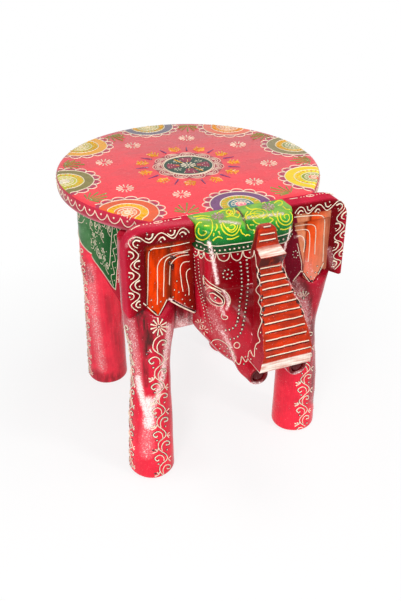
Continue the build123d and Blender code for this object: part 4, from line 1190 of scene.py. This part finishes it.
PLEAT_LINES = (
    ((189.2, 242.3), (179.7, 244.5), (168.7, 246.7), (159.9, 247.8), (153.3, 248.5), (150, 251.1),
     (148.5, 255.5), (148.1, 268.7), (147.8, 283.3), (147.4, 304.6)),
    ((189.6, 249.6), (181.9, 251.8), (173.1, 253.3), (166.5, 255.8), (161.3, 259.1), (158.4, 263.5),
     (157.3, 268.7), (157.5, 283.3), (157.3, 304.6)),
    ((187.7, 252.2), (180.4, 253.3), (173.1, 255.8), (167.9, 258), (165.4, 261.3), (164.3, 267.2),
     (163.9, 279.7), (163.5, 296.5)),
    ((188.8, 254.7), (181.9, 255.8), (176.4, 257.9), (172.7, 261.3), (170.5, 265.7), (169.8, 276),
     (169.4, 284.8)),
    ((189.2, 261.3), (184.1, 262.1), (181.1, 265.7), (180.4, 272.3), (181.5, 283.3), (183, 291.4)),
    ((189.9, 268.3), (186.6, 271.6), (186.6, 278.2), (188.5, 287), (188.8, 295.1)))
PLEAT_DOTS = ((176.6, 281), (174.4, 289.8), (178.9, 292), (185.4, 295.1), (172.9, 297.1),
              (182.2, 299.3), (190, 300), (192.1, 306.4), (151.4, 300), (160.6, 301.7),
              (152.4, 306.8), (184.5, 303.5))
PLEAT_TIPS = (((143.6, 303.2), (151, 310), (158, 316.2)), ((158, 316.2), (162.5, 308.5), (167, 299.6)))
PLEAT_FOOT = ((171.4, 300.9), (182.5, 306.6), (194.2, 312.2))


def hook(lines, dots, points):
    """A short fat-headed stroke that curls round a dot."""
    lines.append((stroked(points[:-1]), (1.9, 0.8)))
    dots.append((points[-1], 1.5))


def dotted(path, pitch, size):
    """Dots set evenly along a path."""
    points = stroked(path, step=0.4)
    set_dots, gone = [], 0.0
    for start, end in zip(points, points[1:]):
        gone += (end - start).length
        if not set_dots or gone >= pitch:
            set_dots.append((end, size))
            gone = 0.0
    return set_dots


ear_skin = skin_of(ears["left"])
lines, dots = [(stroked(EAR_WAVE), 1.05)], []
for points in EAR_HOOKS:
    hook(lines, dots, points)
outlined("ear_border_waves", cream, ear_skin, through_camera, lines, dots, mirror=True,
         fitted=pleats_fitted("right"))

lines = [(stroked(path), 1.0) for path in PLEAT_LINES]
lines += [(stroked(path), 1.2) for path in PLEAT_TIPS] + [(stroked(PLEAT_FOOT), 2.6)]
outlined("right_pleat_lines", cream, ear_skin, through_camera, lines,
         [(point, 1.5) for point in PLEAT_DOTS])

LEFT_PLEAT_LINES = (
    ((294.3, 217.2), (301.8, 216.3), (312.8, 215.5), (320.5, 215.5), (323.8, 218), (324.6, 223.4),
     (323.8, 240), (323, 261.5)),
    ((294.7, 226.2), (301.8, 225.2), (308.7, 224.4), (313.5, 225.2), (315.8, 228.9), (315.5, 240),
     (314.4, 254)),
    ((295, 230.5), (301.8, 229.8), (306.5, 229.8), (309.4, 232.5), (309.6, 244), (308, 262)),
    ((296.3, 236.8), (300.4, 235.8), (303.6, 238), (304.6, 243), (303.6, 252)))
LEFT_PLEAT_DOTS = ((307.3, 272.8), (311, 277), (315.5, 272.4), (317.4, 266), (312.2, 282))
LEFT_PLEAT_FOLD = ((297, 243.5), (299, 252), (301.2, 262), (301.6, 269.5))
LEFT_PLEAT_TIPS = (((301.2, 270.7), (306.6, 278.4), (312.1, 285.6)),
                   ((312.3, 285.6), (318, 274), (323.8, 262.6)),
                   ((290.8, 283.7), (295.8, 277), (300.8, 270.7)))
LEFT_PLEAT_RING = (295.2, 254.2)
lines = [(stroked(path), 1.0) for path in LEFT_PLEAT_LINES] + [(stroked(LEFT_PLEAT_FOLD), 0.8)]
lines += [(stroked(path), 1.3) for path in LEFT_PLEAT_TIPS]
dots = [(point, 1.4) for point in LEFT_PLEAT_DOTS]
dots += [((LEFT_PLEAT_RING[0] + 2.6 * math.cos(turn), LEFT_PLEAT_RING[1] + 3.4 * math.sin(turn)), 1.4)
         for turn in (0.3, 1.2, 2.1, 3.0, 3.9, 4.8, 5.7)]
outlined("left_pleat_lines", cream, skin_of(ears["right"]), through_camera, lines, dots)


def down_on_ear(x, y):
    return Vector((x, y, 320)) / 1000, Vector((0, 0, -1))


EAR_TOP_Y = -76.5  # mm
lines = [(stroked([(x, EAR_TOP_Y), (x + 4.5, EAR_TOP_Y), (x + 9, EAR_TOP_Y)]), 1.1)
         for x in (-110, -68)] + [(ring((-82.7, EAR_TOP_Y), 4.4, squash=0.5), 0.8)]
dots = [((x, EAR_TOP_Y), 1.4) for x in (-97.5, -94, -90.5, -82.7, -75.4, -72.2)]
relief("ear_top_lines", cream, ear_skin, down_on_ear, lines, dots, mirror=True)


# ---------------------------------------------------------------- relief paint on the head
# Yellow curls on the green crown, a dotted band, and cream scallops, dotted rows, eyes and brows
# on the maroon face, set out as the studio camera sees the elephant's right half, and mirrored.
head_skin = skin_of(head, trunk)
CROWN_CURLS = (
    ((201.6, 222.9), (199.2, 222.5), (196.5, 225.8), (195.1, 230.9), (196.9, 236.7), (201.3, 239.6),
     (207.1, 238.2), (211.1, 233.1), (212.5, 226.5), (212, 221.5), (209.5, 218.8)),
    ((199.1, 228), (198.7, 232.4), (201.6, 235.3), (205.3, 234.2), (206.4, 231.6), (203.1, 230.5)),
    ((220.9, 224.4), (222.4, 229.4), (226.7, 233.8), (232.5, 235.6), (236.9, 233.1), (239.4, 228.7),
     (240.2, 225.1)),
    ((222.4, 222.9), (225.3, 227.3), (229.6, 231.6), (233.3, 232), (236.9, 228.7), (237.6, 225.1)),
    ((227.4, 227.3), (229.6, 229.8), (233.3, 229.5), (235.4, 226.5), (233, 224.6), (230.3, 225.4)),
    ((226.7, 238.9), (232.5, 238.9), (239.1, 236)), ((218.4, 230.9), (219.8, 234.5)),
    ((217.3, 236.7), (219.8, 237), (222.4, 238.4)), ((214, 233.1), (213.6, 236)),
    ((212.9, 240.4), (215.1, 238.2), (217.3, 237.1)), ((204.2, 225.8), (209.3, 226.2)),
    ((216.5, 224.4), (217.3, 227.3), (215.1, 230.9)), ((240.5, 229.4), (242, 233.1), (244.5, 234.6)),
    ((244.9, 235.6), (247.8, 234.5), (250, 235.6)), ((250, 225.1), (254, 225.1)),
    ((252.9, 229.8), (254.7, 231.6), (253.6, 233.8)), ((193.3, 217.1), (201, 216), (210, 216.4)),
    ((196, 219.4), (203, 218.2), (208.5, 219)), ((228.5, 209.8), (231, 212), (228, 214.8)),
    ((233.5, 208.9), (235, 212), (233, 215.5)), ((226, 217), (232, 216), (238.5, 218)),
    ((216.5, 213.5), (222, 210.8), (227, 210.5)), ((236.5, 211), (239.8, 214.5), (237.5, 218)),
    ((246, 207.2), (250.5, 209.5), (256, 208.8), (261, 209.8)),
    ((244, 219.5), (248, 215), (254, 213.4), (260, 214.4)), ((250.5, 218), (256, 216.2), (261, 218)))
LEFT_CROWN_CURLS = (
    ((277.8, 211.5), (277.2, 216.5), (279.4, 221.8), (284, 225), (289, 224), (292, 220), (292, 215),
     (289.4, 211.8)),
    ((280.8, 213.6), (280.6, 217.6), (283, 221), (286.8, 221.6), (289.2, 218.6), (288.4, 215),
     (285.4, 214.2), (284, 216.4), (285.4, 218.4)),
    ((274, 203.4), (278, 200.8), (282.2, 202), (281.4, 205), (277.6, 205.4)),
    ((276.2, 220.7), (276.9, 224.4), (279, 227.3)), ((252.9, 220), (255.8, 222.9), (260.2, 224.4)),
    ((269.6, 217.8), (273.2, 220), (269.6, 222.9)), ((262, 203.4), (266.5, 201.6), (271, 201.4)),
    ((247, 224.8), (248.4, 228.4), (251.6, 230.2)), ((256.2, 226), (257.4, 229.6), (256, 233)),
    ((280, 229.2), (285, 229.4), (291, 227)), ((272.6, 211.4), (273.6, 215), (277, 217)),
    ((283, 206.6), (286, 209), (290, 209.6)), ((262.4, 218.8), (266, 217), (270, 214.2)),
    ((247.6, 211.6), (245.4, 215.4), (247, 219.6)), ((271.4, 226.4), (274.2, 229.2), (277.4, 230.2)))
CROWN_FLOWERS = ((217.8, 216.6), (268.2, 207.2))
CROWN_ROSE, CROWN_BERRY, CROWN_BUD = (258.7, 213.4), (229.6, 212.7), (237.8, 212.5)
lines = [(stroked(points), (1.7, 1.0)) for points in CROWN_CURLS]
lines += [(stroked(points), (1.5, 1.0)) for points in LEFT_CROWN_CURLS]
lines += [(ring(CROWN_ROSE, reach, squash=0.5), 0.9) for reach in (8.6, 5.0)]
lines.append((ring(CROWN_BERRY, 3.4, squash=0.6), 1.6))
crown_skin = skin_of(head)
relief("crown_yellow_curls", squeezed_paint("lemon_cone_paint", "#F1E62E"), crown_skin,
       through_camera, lines)
lines = []
for flower in CROWN_FLOWERS:
    for turn in range(0, 360, 40):
        away = Vector((math.cos(math.radians(turn)), 0.55 * math.sin(math.radians(turn))))
        lines.append((stroked([Vector(flower) + away * r for r in (1.4, 3.8, 6.4)]), (1.3, 2.3)))
relief("crown_pink_flowers", squeezed_paint("dusty_pink_cone_paint", "#B08C86"), crown_skin,
       through_camera, lines)
relief("crown_orange_dots", squeezed_paint("orange_cone_paint", "#E8702A"), crown_skin,
       through_camera, [(ring(CROWN_BUD, 1.0), 1.6)], [(CROWN_BERRY, 2.6)])

HEAD_MIDDLE, BAND_REACH = -0.045, 0.067


def round_head(along, height):
    """Inwards on the head, along in mm round it from the front."""
    turn = along / 1000 / BAND_REACH
    heading = Vector((math.sin(turn), -math.cos(turn), 0.0))
    return Vector((0, HEAD_MIDDLE, height / 1000)) + heading * 0.13, -heading


lines = [(stroked([(x, z) for x in range(-57, 58, 6)]), 1.0) for z in (285.6, 276.6)]
dots = [((4.5 * i, 281), 2.1) for i in range(-12, 13)]
outlined("crown_band", cream, crown_skin, round_head, lines, dots)

FACE_SCALLOPS = (((192.6, 248), (193.2, 253), (195.6, 256), (197.8, 254.5), (198.3, 250.5)),
                 ((198.8, 250.6), (199.3, 256), (201.2, 258.5), (203, 257), (203.3, 252.3)),
                 ((203.8, 252), (205.6, 258), (210.2, 260.8), (214.8, 258.4), (216.4, 252.4)),
                 ((216.9, 252.4), (218.6, 258.6), (223.6, 261.2), (228.2, 258.8), (229.8, 252.4)),
                 ((230.3, 252), (232, 258), (237, 260.4), (241.2, 257.6), (242.7, 251.4)),
                 ((243.2, 250.8), (244.6, 256), (249, 258.2), (253, 256), (254.6, 250.6)))
SCALLOP_DOTS = ((195.6, 251.5), (201, 254), (210.3, 255.4), (224, 255.6), (237.8, 254), (249.6, 252.2))
BROW_LINES = (((203, 275.4), (208.7, 282), (216.4, 286.9), (225, 291.5), (229, 295.8), (230.3, 301.2),
               (228.6, 306)),
              ((203, 275.6), (204.6, 281.4), (209, 286), (216, 289.2), (221.5, 292.2)),
              ((202.8, 277.5), (203.9, 283.5), (206, 288.2)))
LID_LINE = ((205.4, 290), (208.7, 287.6), (213.5, 289), (219, 293), (224, 298), (223.8, 304.6),
            (218, 306.3), (211.5, 303.2), (206.8, 297.5))
EYE_LINE = ((209.7, 293.8), (213, 293.1), (218.3, 296.5), (222.1, 300.3), (222, 303.2),
            (217.3, 303.2), (212.1, 300.3), (209.9, 296.8))
PUPIL = (215.2, 297.8)
CHEEK_CURL = ((222.1, 313.4), (221.1, 316.6), (223.5, 319.4), (226.9, 319), (227.6, 316.6),
              (225.4, 315.8))
DOTTED_ROWS = (
    ((240.5, 262), (241.2, 268.5), (241.7, 277.3), (241.7, 287.7), (240.5, 297), (239.3, 306),
     (238.4, 316.6), (236.5, 324.6), (231.4, 329), (223.5, 330.6)),
    ((246.7, 259.6), (247.5, 270), (248.2, 281), (247.2, 295), (245.3, 310.8), (242.7, 326.6),
     (240, 334.2), (235.8, 337.8), (229.3, 339.2)),
    ((194.4, 256.8), (195.8, 275), (198.6, 287), (202.5, 305), (205.8, 322)),
    ((198.2, 259), (199.6, 277), (202.8, 297), (208.2, 313.6), (212, 331)))
JAW_ARC = ((211.1, 343.3), (213, 340.5), (218.3, 339.5), (225.9, 343.3), (231.7, 350), (235, 357.7),
           (235, 362.5))
JAW_DOTS = ((215.9, 344.4), (220.9, 344.2), (219.9, 348.4), (224.4, 351.2), (227, 355.4),
            (227.6, 348.4), (230.2, 352), (231, 357.5))
JAW_RING = (237, 345)
CHEEK_SPRIGS = ((199.6, 323.5), (203.8, 330.5))
MOUTH_WAVE = (
    (254.2, 250.5), (255.6, 257.2), (256.6, 265.8), (258.5, 270.6), (257.3, 275.4), (259.5, 280.2),
    (259.7, 284), (256.6, 288), (256.6, 291.7), (260.2, 296.5), (258.6, 302.2), (261.3, 308),
    (260.2, 315.6), (261.8, 321), (259.4, 328), (257.9, 335), (260, 341.5), (256.3, 344.2),
    (254.6, 351), (254.4, 356.3), (252.4, 354.8), (250.8, 350), (249.4, 351), (248, 357.2),
    (246, 362), (243.2, 358.2), (241.7, 356.3), (240.8, 361.5), (239.3, 364.6), (236.7, 362.5),
    (235.2, 358.7))
MOUTH_DOTS = ((261.6, 300), (261.6, 314.4), (260.9, 332.6), (256.8, 348.6), (245.6, 356.8),
              (251, 359.2), (243.7, 364))
FOREHEAD_RING = (227.6, 274.2)

lines = [(stroked(points), 1.0) for points in FACE_SCALLOPS]
lines += [(stroked(points), (0.7, 1.2)) for points in BROW_LINES]
lines += [(stroked(LID_LINE), 0.8), (stroked(EYE_LINE, loop=True), 0.9), (stroked(CHEEK_CURL), 1.0),
          (stroked(JAW_ARC), 0.9), (ring(JAW_RING, 3.0), 1.0), (stroked(MOUTH_WAVE), 0.9)]
for across, down in CHEEK_SPRIGS:
    petals(lines, (across, down), 1.4, 4.6, (-150, -110, -70, -20, 30, 80), 1.3)
dots = [(PUPIL, 2.2)]
dots += [(point, 1.8) for point in SCALLOP_DOTS]
dots += [(point, 1.5) for point in (*JAW_DOTS, *MOUTH_DOTS)]
dots += [(Vector(FOREHEAD_RING) + 4.7 * Vector((math.cos(a), math.sin(a))), 1.8)
         for a in (math.radians(45 * i + 10) for i in range(8))] + [(FOREHEAD_RING, 1.8)]
for path, size, pitch in zip(DOTTED_ROWS, (2.0, 2.0, 1.2, 1.2), (3.7, 3.9, 3.0, 3.0)):
    dots += dotted(path, pitch, size)


def past_trunk(place):
    """Keeps the mirrored mouth line beside the trunk, which bends to that side."""
    beside = clamped((0.045 - place.x) / 0.01)
    return place + Vector((2 * trunk_bend(place.z) * beside, 0, 0))


outlined("face_cream_lines", cream, head_skin, through_camera, lines, dots, mirror=True,
         fitted=past_trunk)
EYE_SHADE = ((208.9, 293.1), (210.8, 292.5), (215.9, 292.1), (221, 296.9), (223.5, 300.8), (222.9, 304.6),
             (218.4, 305.2), (212, 300.8), (208.9, 295.7))
relief("eye_outlines", dark_glaze_and_shadow, crown_skin, through_camera,
       [(stroked(EYE_SHADE, loop=True), 1.3)], mirror=True, sunk=0.0003)


# ---------------------------------------------------------------- relief paint on the trunk
# Cream stripes of cone paint cross the flat front of the trunk, laid level from side to side. A dark
# # line along the lower edge of each is painted shadow, with settled glaze.
STRIPE_ENDS = ((263.5, 226.9), (260, 234.8), (258.4, 241.3), (259, 268.7), (260.2, 275.4),
               (261.9, 282.1), (263.1, 289.3), (263.6, 297.4), (264.4, 305.8), (265, 314.6),
               (265.2, 324.2), (265.6, 332.6), (265, 341), (264.3, 350.5), (263.8, 357.7))
trunk_skin = skin_of(trunk)


def into_trunk(x, z):
    return Vector((x, -230, z)) / 1000, Vector((0, 1, 0))


lines, shades = [], []
for across, down in STRIPE_ENDS:
    place = trunk_skin.ray_cast(*through_camera(across + 1.5, down))[0]
    if place is not None:
        height = place.z * 1000
        half = next((x for x in range(30, 2, -1)
                     if (trunk_skin.ray_cast(*into_trunk(-x, height))[1] or Vector()).y < -0.6), 0)
        middle = 1000 * trunk_bend(place.z)
        level = [middle + (half + middle - 1.5) * t for t in (-1, -0.5, 0, 0.5, 1)]
        lines.append((stroked([(x, height) for x in level]), 1.1))
        shades.append((stroked([(x, height - 0.95) for x in level]), 1.0))
relief("trunk_cream_stripes", cream, trunk_skin, into_trunk, lines)
relief("trunk_stripe_shade", dark_glaze_and_shadow, trunk_skin, into_trunk, shades, sunk=0.00015)


# ---------------------------------------------------------------- relief paint on the posts
# A vine climbs the front or the back of each post and its outer side, with curls, sprigs and dots.
# One bend of the vine from its leftmost point downwards, to the right and down in mm.
VINE_STEM = ((0, 0), (0.6, 2.8), (3.5, 5.4), (6.9, 7.4), (9.2, 10.3), (8.4, 13.7), (5.2, 16.6),
             (2.0, 20.0))
RIGHT_CURL = ((4.1, 4.8), (3.4, 0.5), (5.2, -3.5), (8.1, -5.2), (10.9, -4.4), (10.4, -1.8), (7.6, -1.2))
LEFT_CURL = ((5.8, 14.9), (5.8, 12.0), (4.1, 9.7), (1.2, 8.9), (-1.7, 10.3), (-3.4, 12.6),
             (-1.1, 14.9), (0.9, 13.4))
LEFT_SPRIG = ((-5.9, 3.9), (-5.4, 7.2), (-2.6, 2.8), (0.6, 1.6))
RIGHT_SPRIG = ((12.6, 9.6), (12.9, 12.6), (11.9, 14.6))
LEFT_HEART, RIGHT_HEART = (-1.0, 5.4), (10.0, 12.6)
CURL_DOTS = ((8.6, 3.5), (0.3, 17.8))


def vine(lines, dots, bends, rise, head=()):
    """A climbing vine. Each bend is its leftmost point and its size, and a rise of -1 counts up."""
    stem = list(head)
    for left, down, size in bends:
        def at(x, y):
            return left + x * size, down + rise * y * size
        stem += [at(x, y) for x, y in VINE_STEM]
        lines.append((stroked([at(x, y) for x, y in RIGHT_CURL]), (0.9, 1.7)))
        lines.append((stroked([at(x, y) for x, y in LEFT_CURL]), (0.9, 1.7)))
        lines += [((at(*tip), at(*LEFT_HEART)), (2.0, 0.7)) for tip in LEFT_SPRIG]
        lines += [((at(*tip), at(*RIGHT_HEART)), (1.5, 0.7)) for tip in RIGHT_SPRIG]
        dots += [(at(*dot), 1.9) for dot in CURL_DOTS]
    lines.append((stroked(stem), 1.15))


def into_post(post, facing):
    """Inwards on a post, across and up in mm from a line that faces a turn from the front."""
    axis, lean = Vector(POST_AXES[post]), Vector(POST_LEAN[post])

    def aim(across, height):
        angle = math.radians(facing) + across / (POST_RADIUS * 1000)
        heading = Vector((math.sin(angle), -math.cos(angle), 0))
        middle = axis + lean * max(0.0, 1 - height / (LEAN_FROM * 1000))
        return middle.to_3d() + heading * 0.045 + Vector((0, 0, height / 1000)), -heading
    return aim


FRONT_VINES = {  # as the studio camera sees them: flower, reach, petals, head of the stem, bends
    "leg_front_left": (
        (158.7, 326.6), 8.6, range(0, 360, 33), ((159.8, 335.6), (156.7, 337.6), (153.9, 341.3)),
        ((153, 346.2, 1.19), (154.7, 374.3, 1.03), (155.7, 398.6, 1.02), (156.7, 422.6, 1.0),
         (158.2, 446.1, 1.0), (159.8, 469.6, 0.95))),
    "leg_front_right": (
        (303.5, 298), 7.5, (-150, -120, -95, -70, -45), ((304, 314), (304.6, 322), (303.4, 330)),
        ((302.6, 336.6, 0.88), (301.9, 357.8, 0.88), (300.9, 378.9, 0.9), (299.4, 400.1, 0.84),
         (299.4, 419.8, 0.84)))}
for post, piece in posts.items():
    post_skin = skin_of(piece)
    side = -1 if POST_AXES[post][0] < 0 else 1
    bends = [(-4.0, 186 - 27 * i, 1.12) for i in range(7)]
    lines, dots = [], []
    if post in FRONT_VINES:
        flower, reach, turns, head_of_stem, front_bends = FRONT_VINES[post]
        petals(lines, flower, 2.0, reach, turns, 2.1 if side < 0 else 1.5)
        dots.append((flower, 2.4))
        vine(lines, dots, front_bends, 1, head_of_stem)
        outlined(post + "_front_vine", cream, post_skin, through_camera, lines, dots)
    else:
        vine(lines, dots, bends, -1)
        outlined(post + "_back_vine", cream, post_skin, into_post(post, 180), lines, dots)
    lines, dots = [], []
    vine(lines, dots, bends, -1)
    outlined(post + "_side_vine", cream, post_skin, into_post(post, side * 92), lines, dots)


# ---------------------------------------------------------------- relief paint on the flanks
# A cream line borders the green field, with a wave and dots behind it and loose flowers beyond.
# It is drawn on the elephant's right flank, over block and posts alike, and mirrored.
flank_skin = skin_of(body, posts["leg_front_left"], posts["leg_rear_left"])


def into_flank(y, z):
    return Vector((-160, y, z)) / 1000, Vector((1, 0, 0))


def front_of_green(z):
    return GREEN_FRONT_Y * 1000 + (GREEN_TOP * 1000 - z) * GREEN_FRONT_LEAN


def curled_flower(lines, heart, turn, reach, width, curl_width, arm, arm_width):
    """A flower of nine petals over two curls and two arms, all in mm."""
    petals(lines, heart, *reach, [turn + 40 * i for i in range(9)], width)
    for side in (-1, 1):
        curl = (heart[0] + side * 13, heart[1] - 9)
        lines.append((spiral(curl, 5.2, 90 + side * 80 + turn, side * 1.2), curl_width))
        lines.append((stroked([(heart[0] + side * out, heart[1] - down) for out, down in arm]),
                      arm_width))


heights = [286 - 4.8 * i for i in range(21)]
lines = [(stroked([(front_of_green(z), z) for z in heights[::4]]), 1.1),
         (stroked([(front_of_green(z) + 25.7, z) for z in heights[:19:4]]), 1.0),
         (stroked([(front_of_green(190), 190), (20, 187.4), (40, 187.2), (66, 187.2), (96, 187.6),
                   (110, 196), (122, 205), (134, 214)]), 1.5),
         (stroked([(front_of_green(z) + 13 + (5 if i % 2 else -5), z)
                   for i, z in enumerate(heights[::2])]), 0.9)]
dots = [((front_of_green(z) + 13 + (-6.5 if i % 2 else 6.5), z), 1.4)
        for i, z in enumerate(heights[::2])]
for z in range(208, 284, 9):
    lines.append((ring((front_of_green(z) - 4.6, z), 3.4, 90, 270), 0.8))
    dots.append(((front_of_green(z) - 4.2, z), 1.3))
for y, z, turn in ((34, 268, 20), (62, 248, 75), (50, 214, 130), (86, 274, 10), (84, 218, 60),
                   (104, 244, 100)):
    curled_flower(lines, (y, z), turn, (2.2, 8.0), 1.15, (0.75, 1.15),
                  ((3, 10), (7, 16), (15, 18)), (0.75, 1.1))
    dots += [((y + 13, z + 8), 1.4), ((y - 12, z + 9), 1.4), ((y + 1, z - 15), 1.4)]
relief("flank_cream_flowers", cream, flank_skin, into_flank, lines, dots, mirror=True)

# The back of the body has a border line with a wave and dots over it, and three flowers.
back_of_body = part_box("body_block")[1].y


def into_back(x, z):
    return Vector((x / 1000, back_of_body + 0.03, z / 1000)), Vector((0, -1, 0))


lines = [(stroked([(x, 223) for x in range(-58, 59, 29)]), 1.3),
         (stroked([(x, 203 + (2.5 if i % 2 else -2.5)) for i, x in enumerate(range(-58, 59, 6))]), 1.0)]
dots = [((x, 213), 1.6) for x in range(-56, 57, 8)]
for x, z, turn in ((-38, 250, 15), (0, 254, 55), (38, 250, 100)):
    curled_flower(lines, (x, z), turn, (2.4, 9.5), 1.7, (0.9, 1.6), ((3, 11), (7, 17), (14, 19)),
                  (0.9, 1.5))
    dots += [((x, z), 2.2), ((x + 13, z + 8), 1.4), ((x - 12, z + 9), 1.4)]
relief("back_cream_flowers", cream, skin_of(body), into_back, lines, dots)
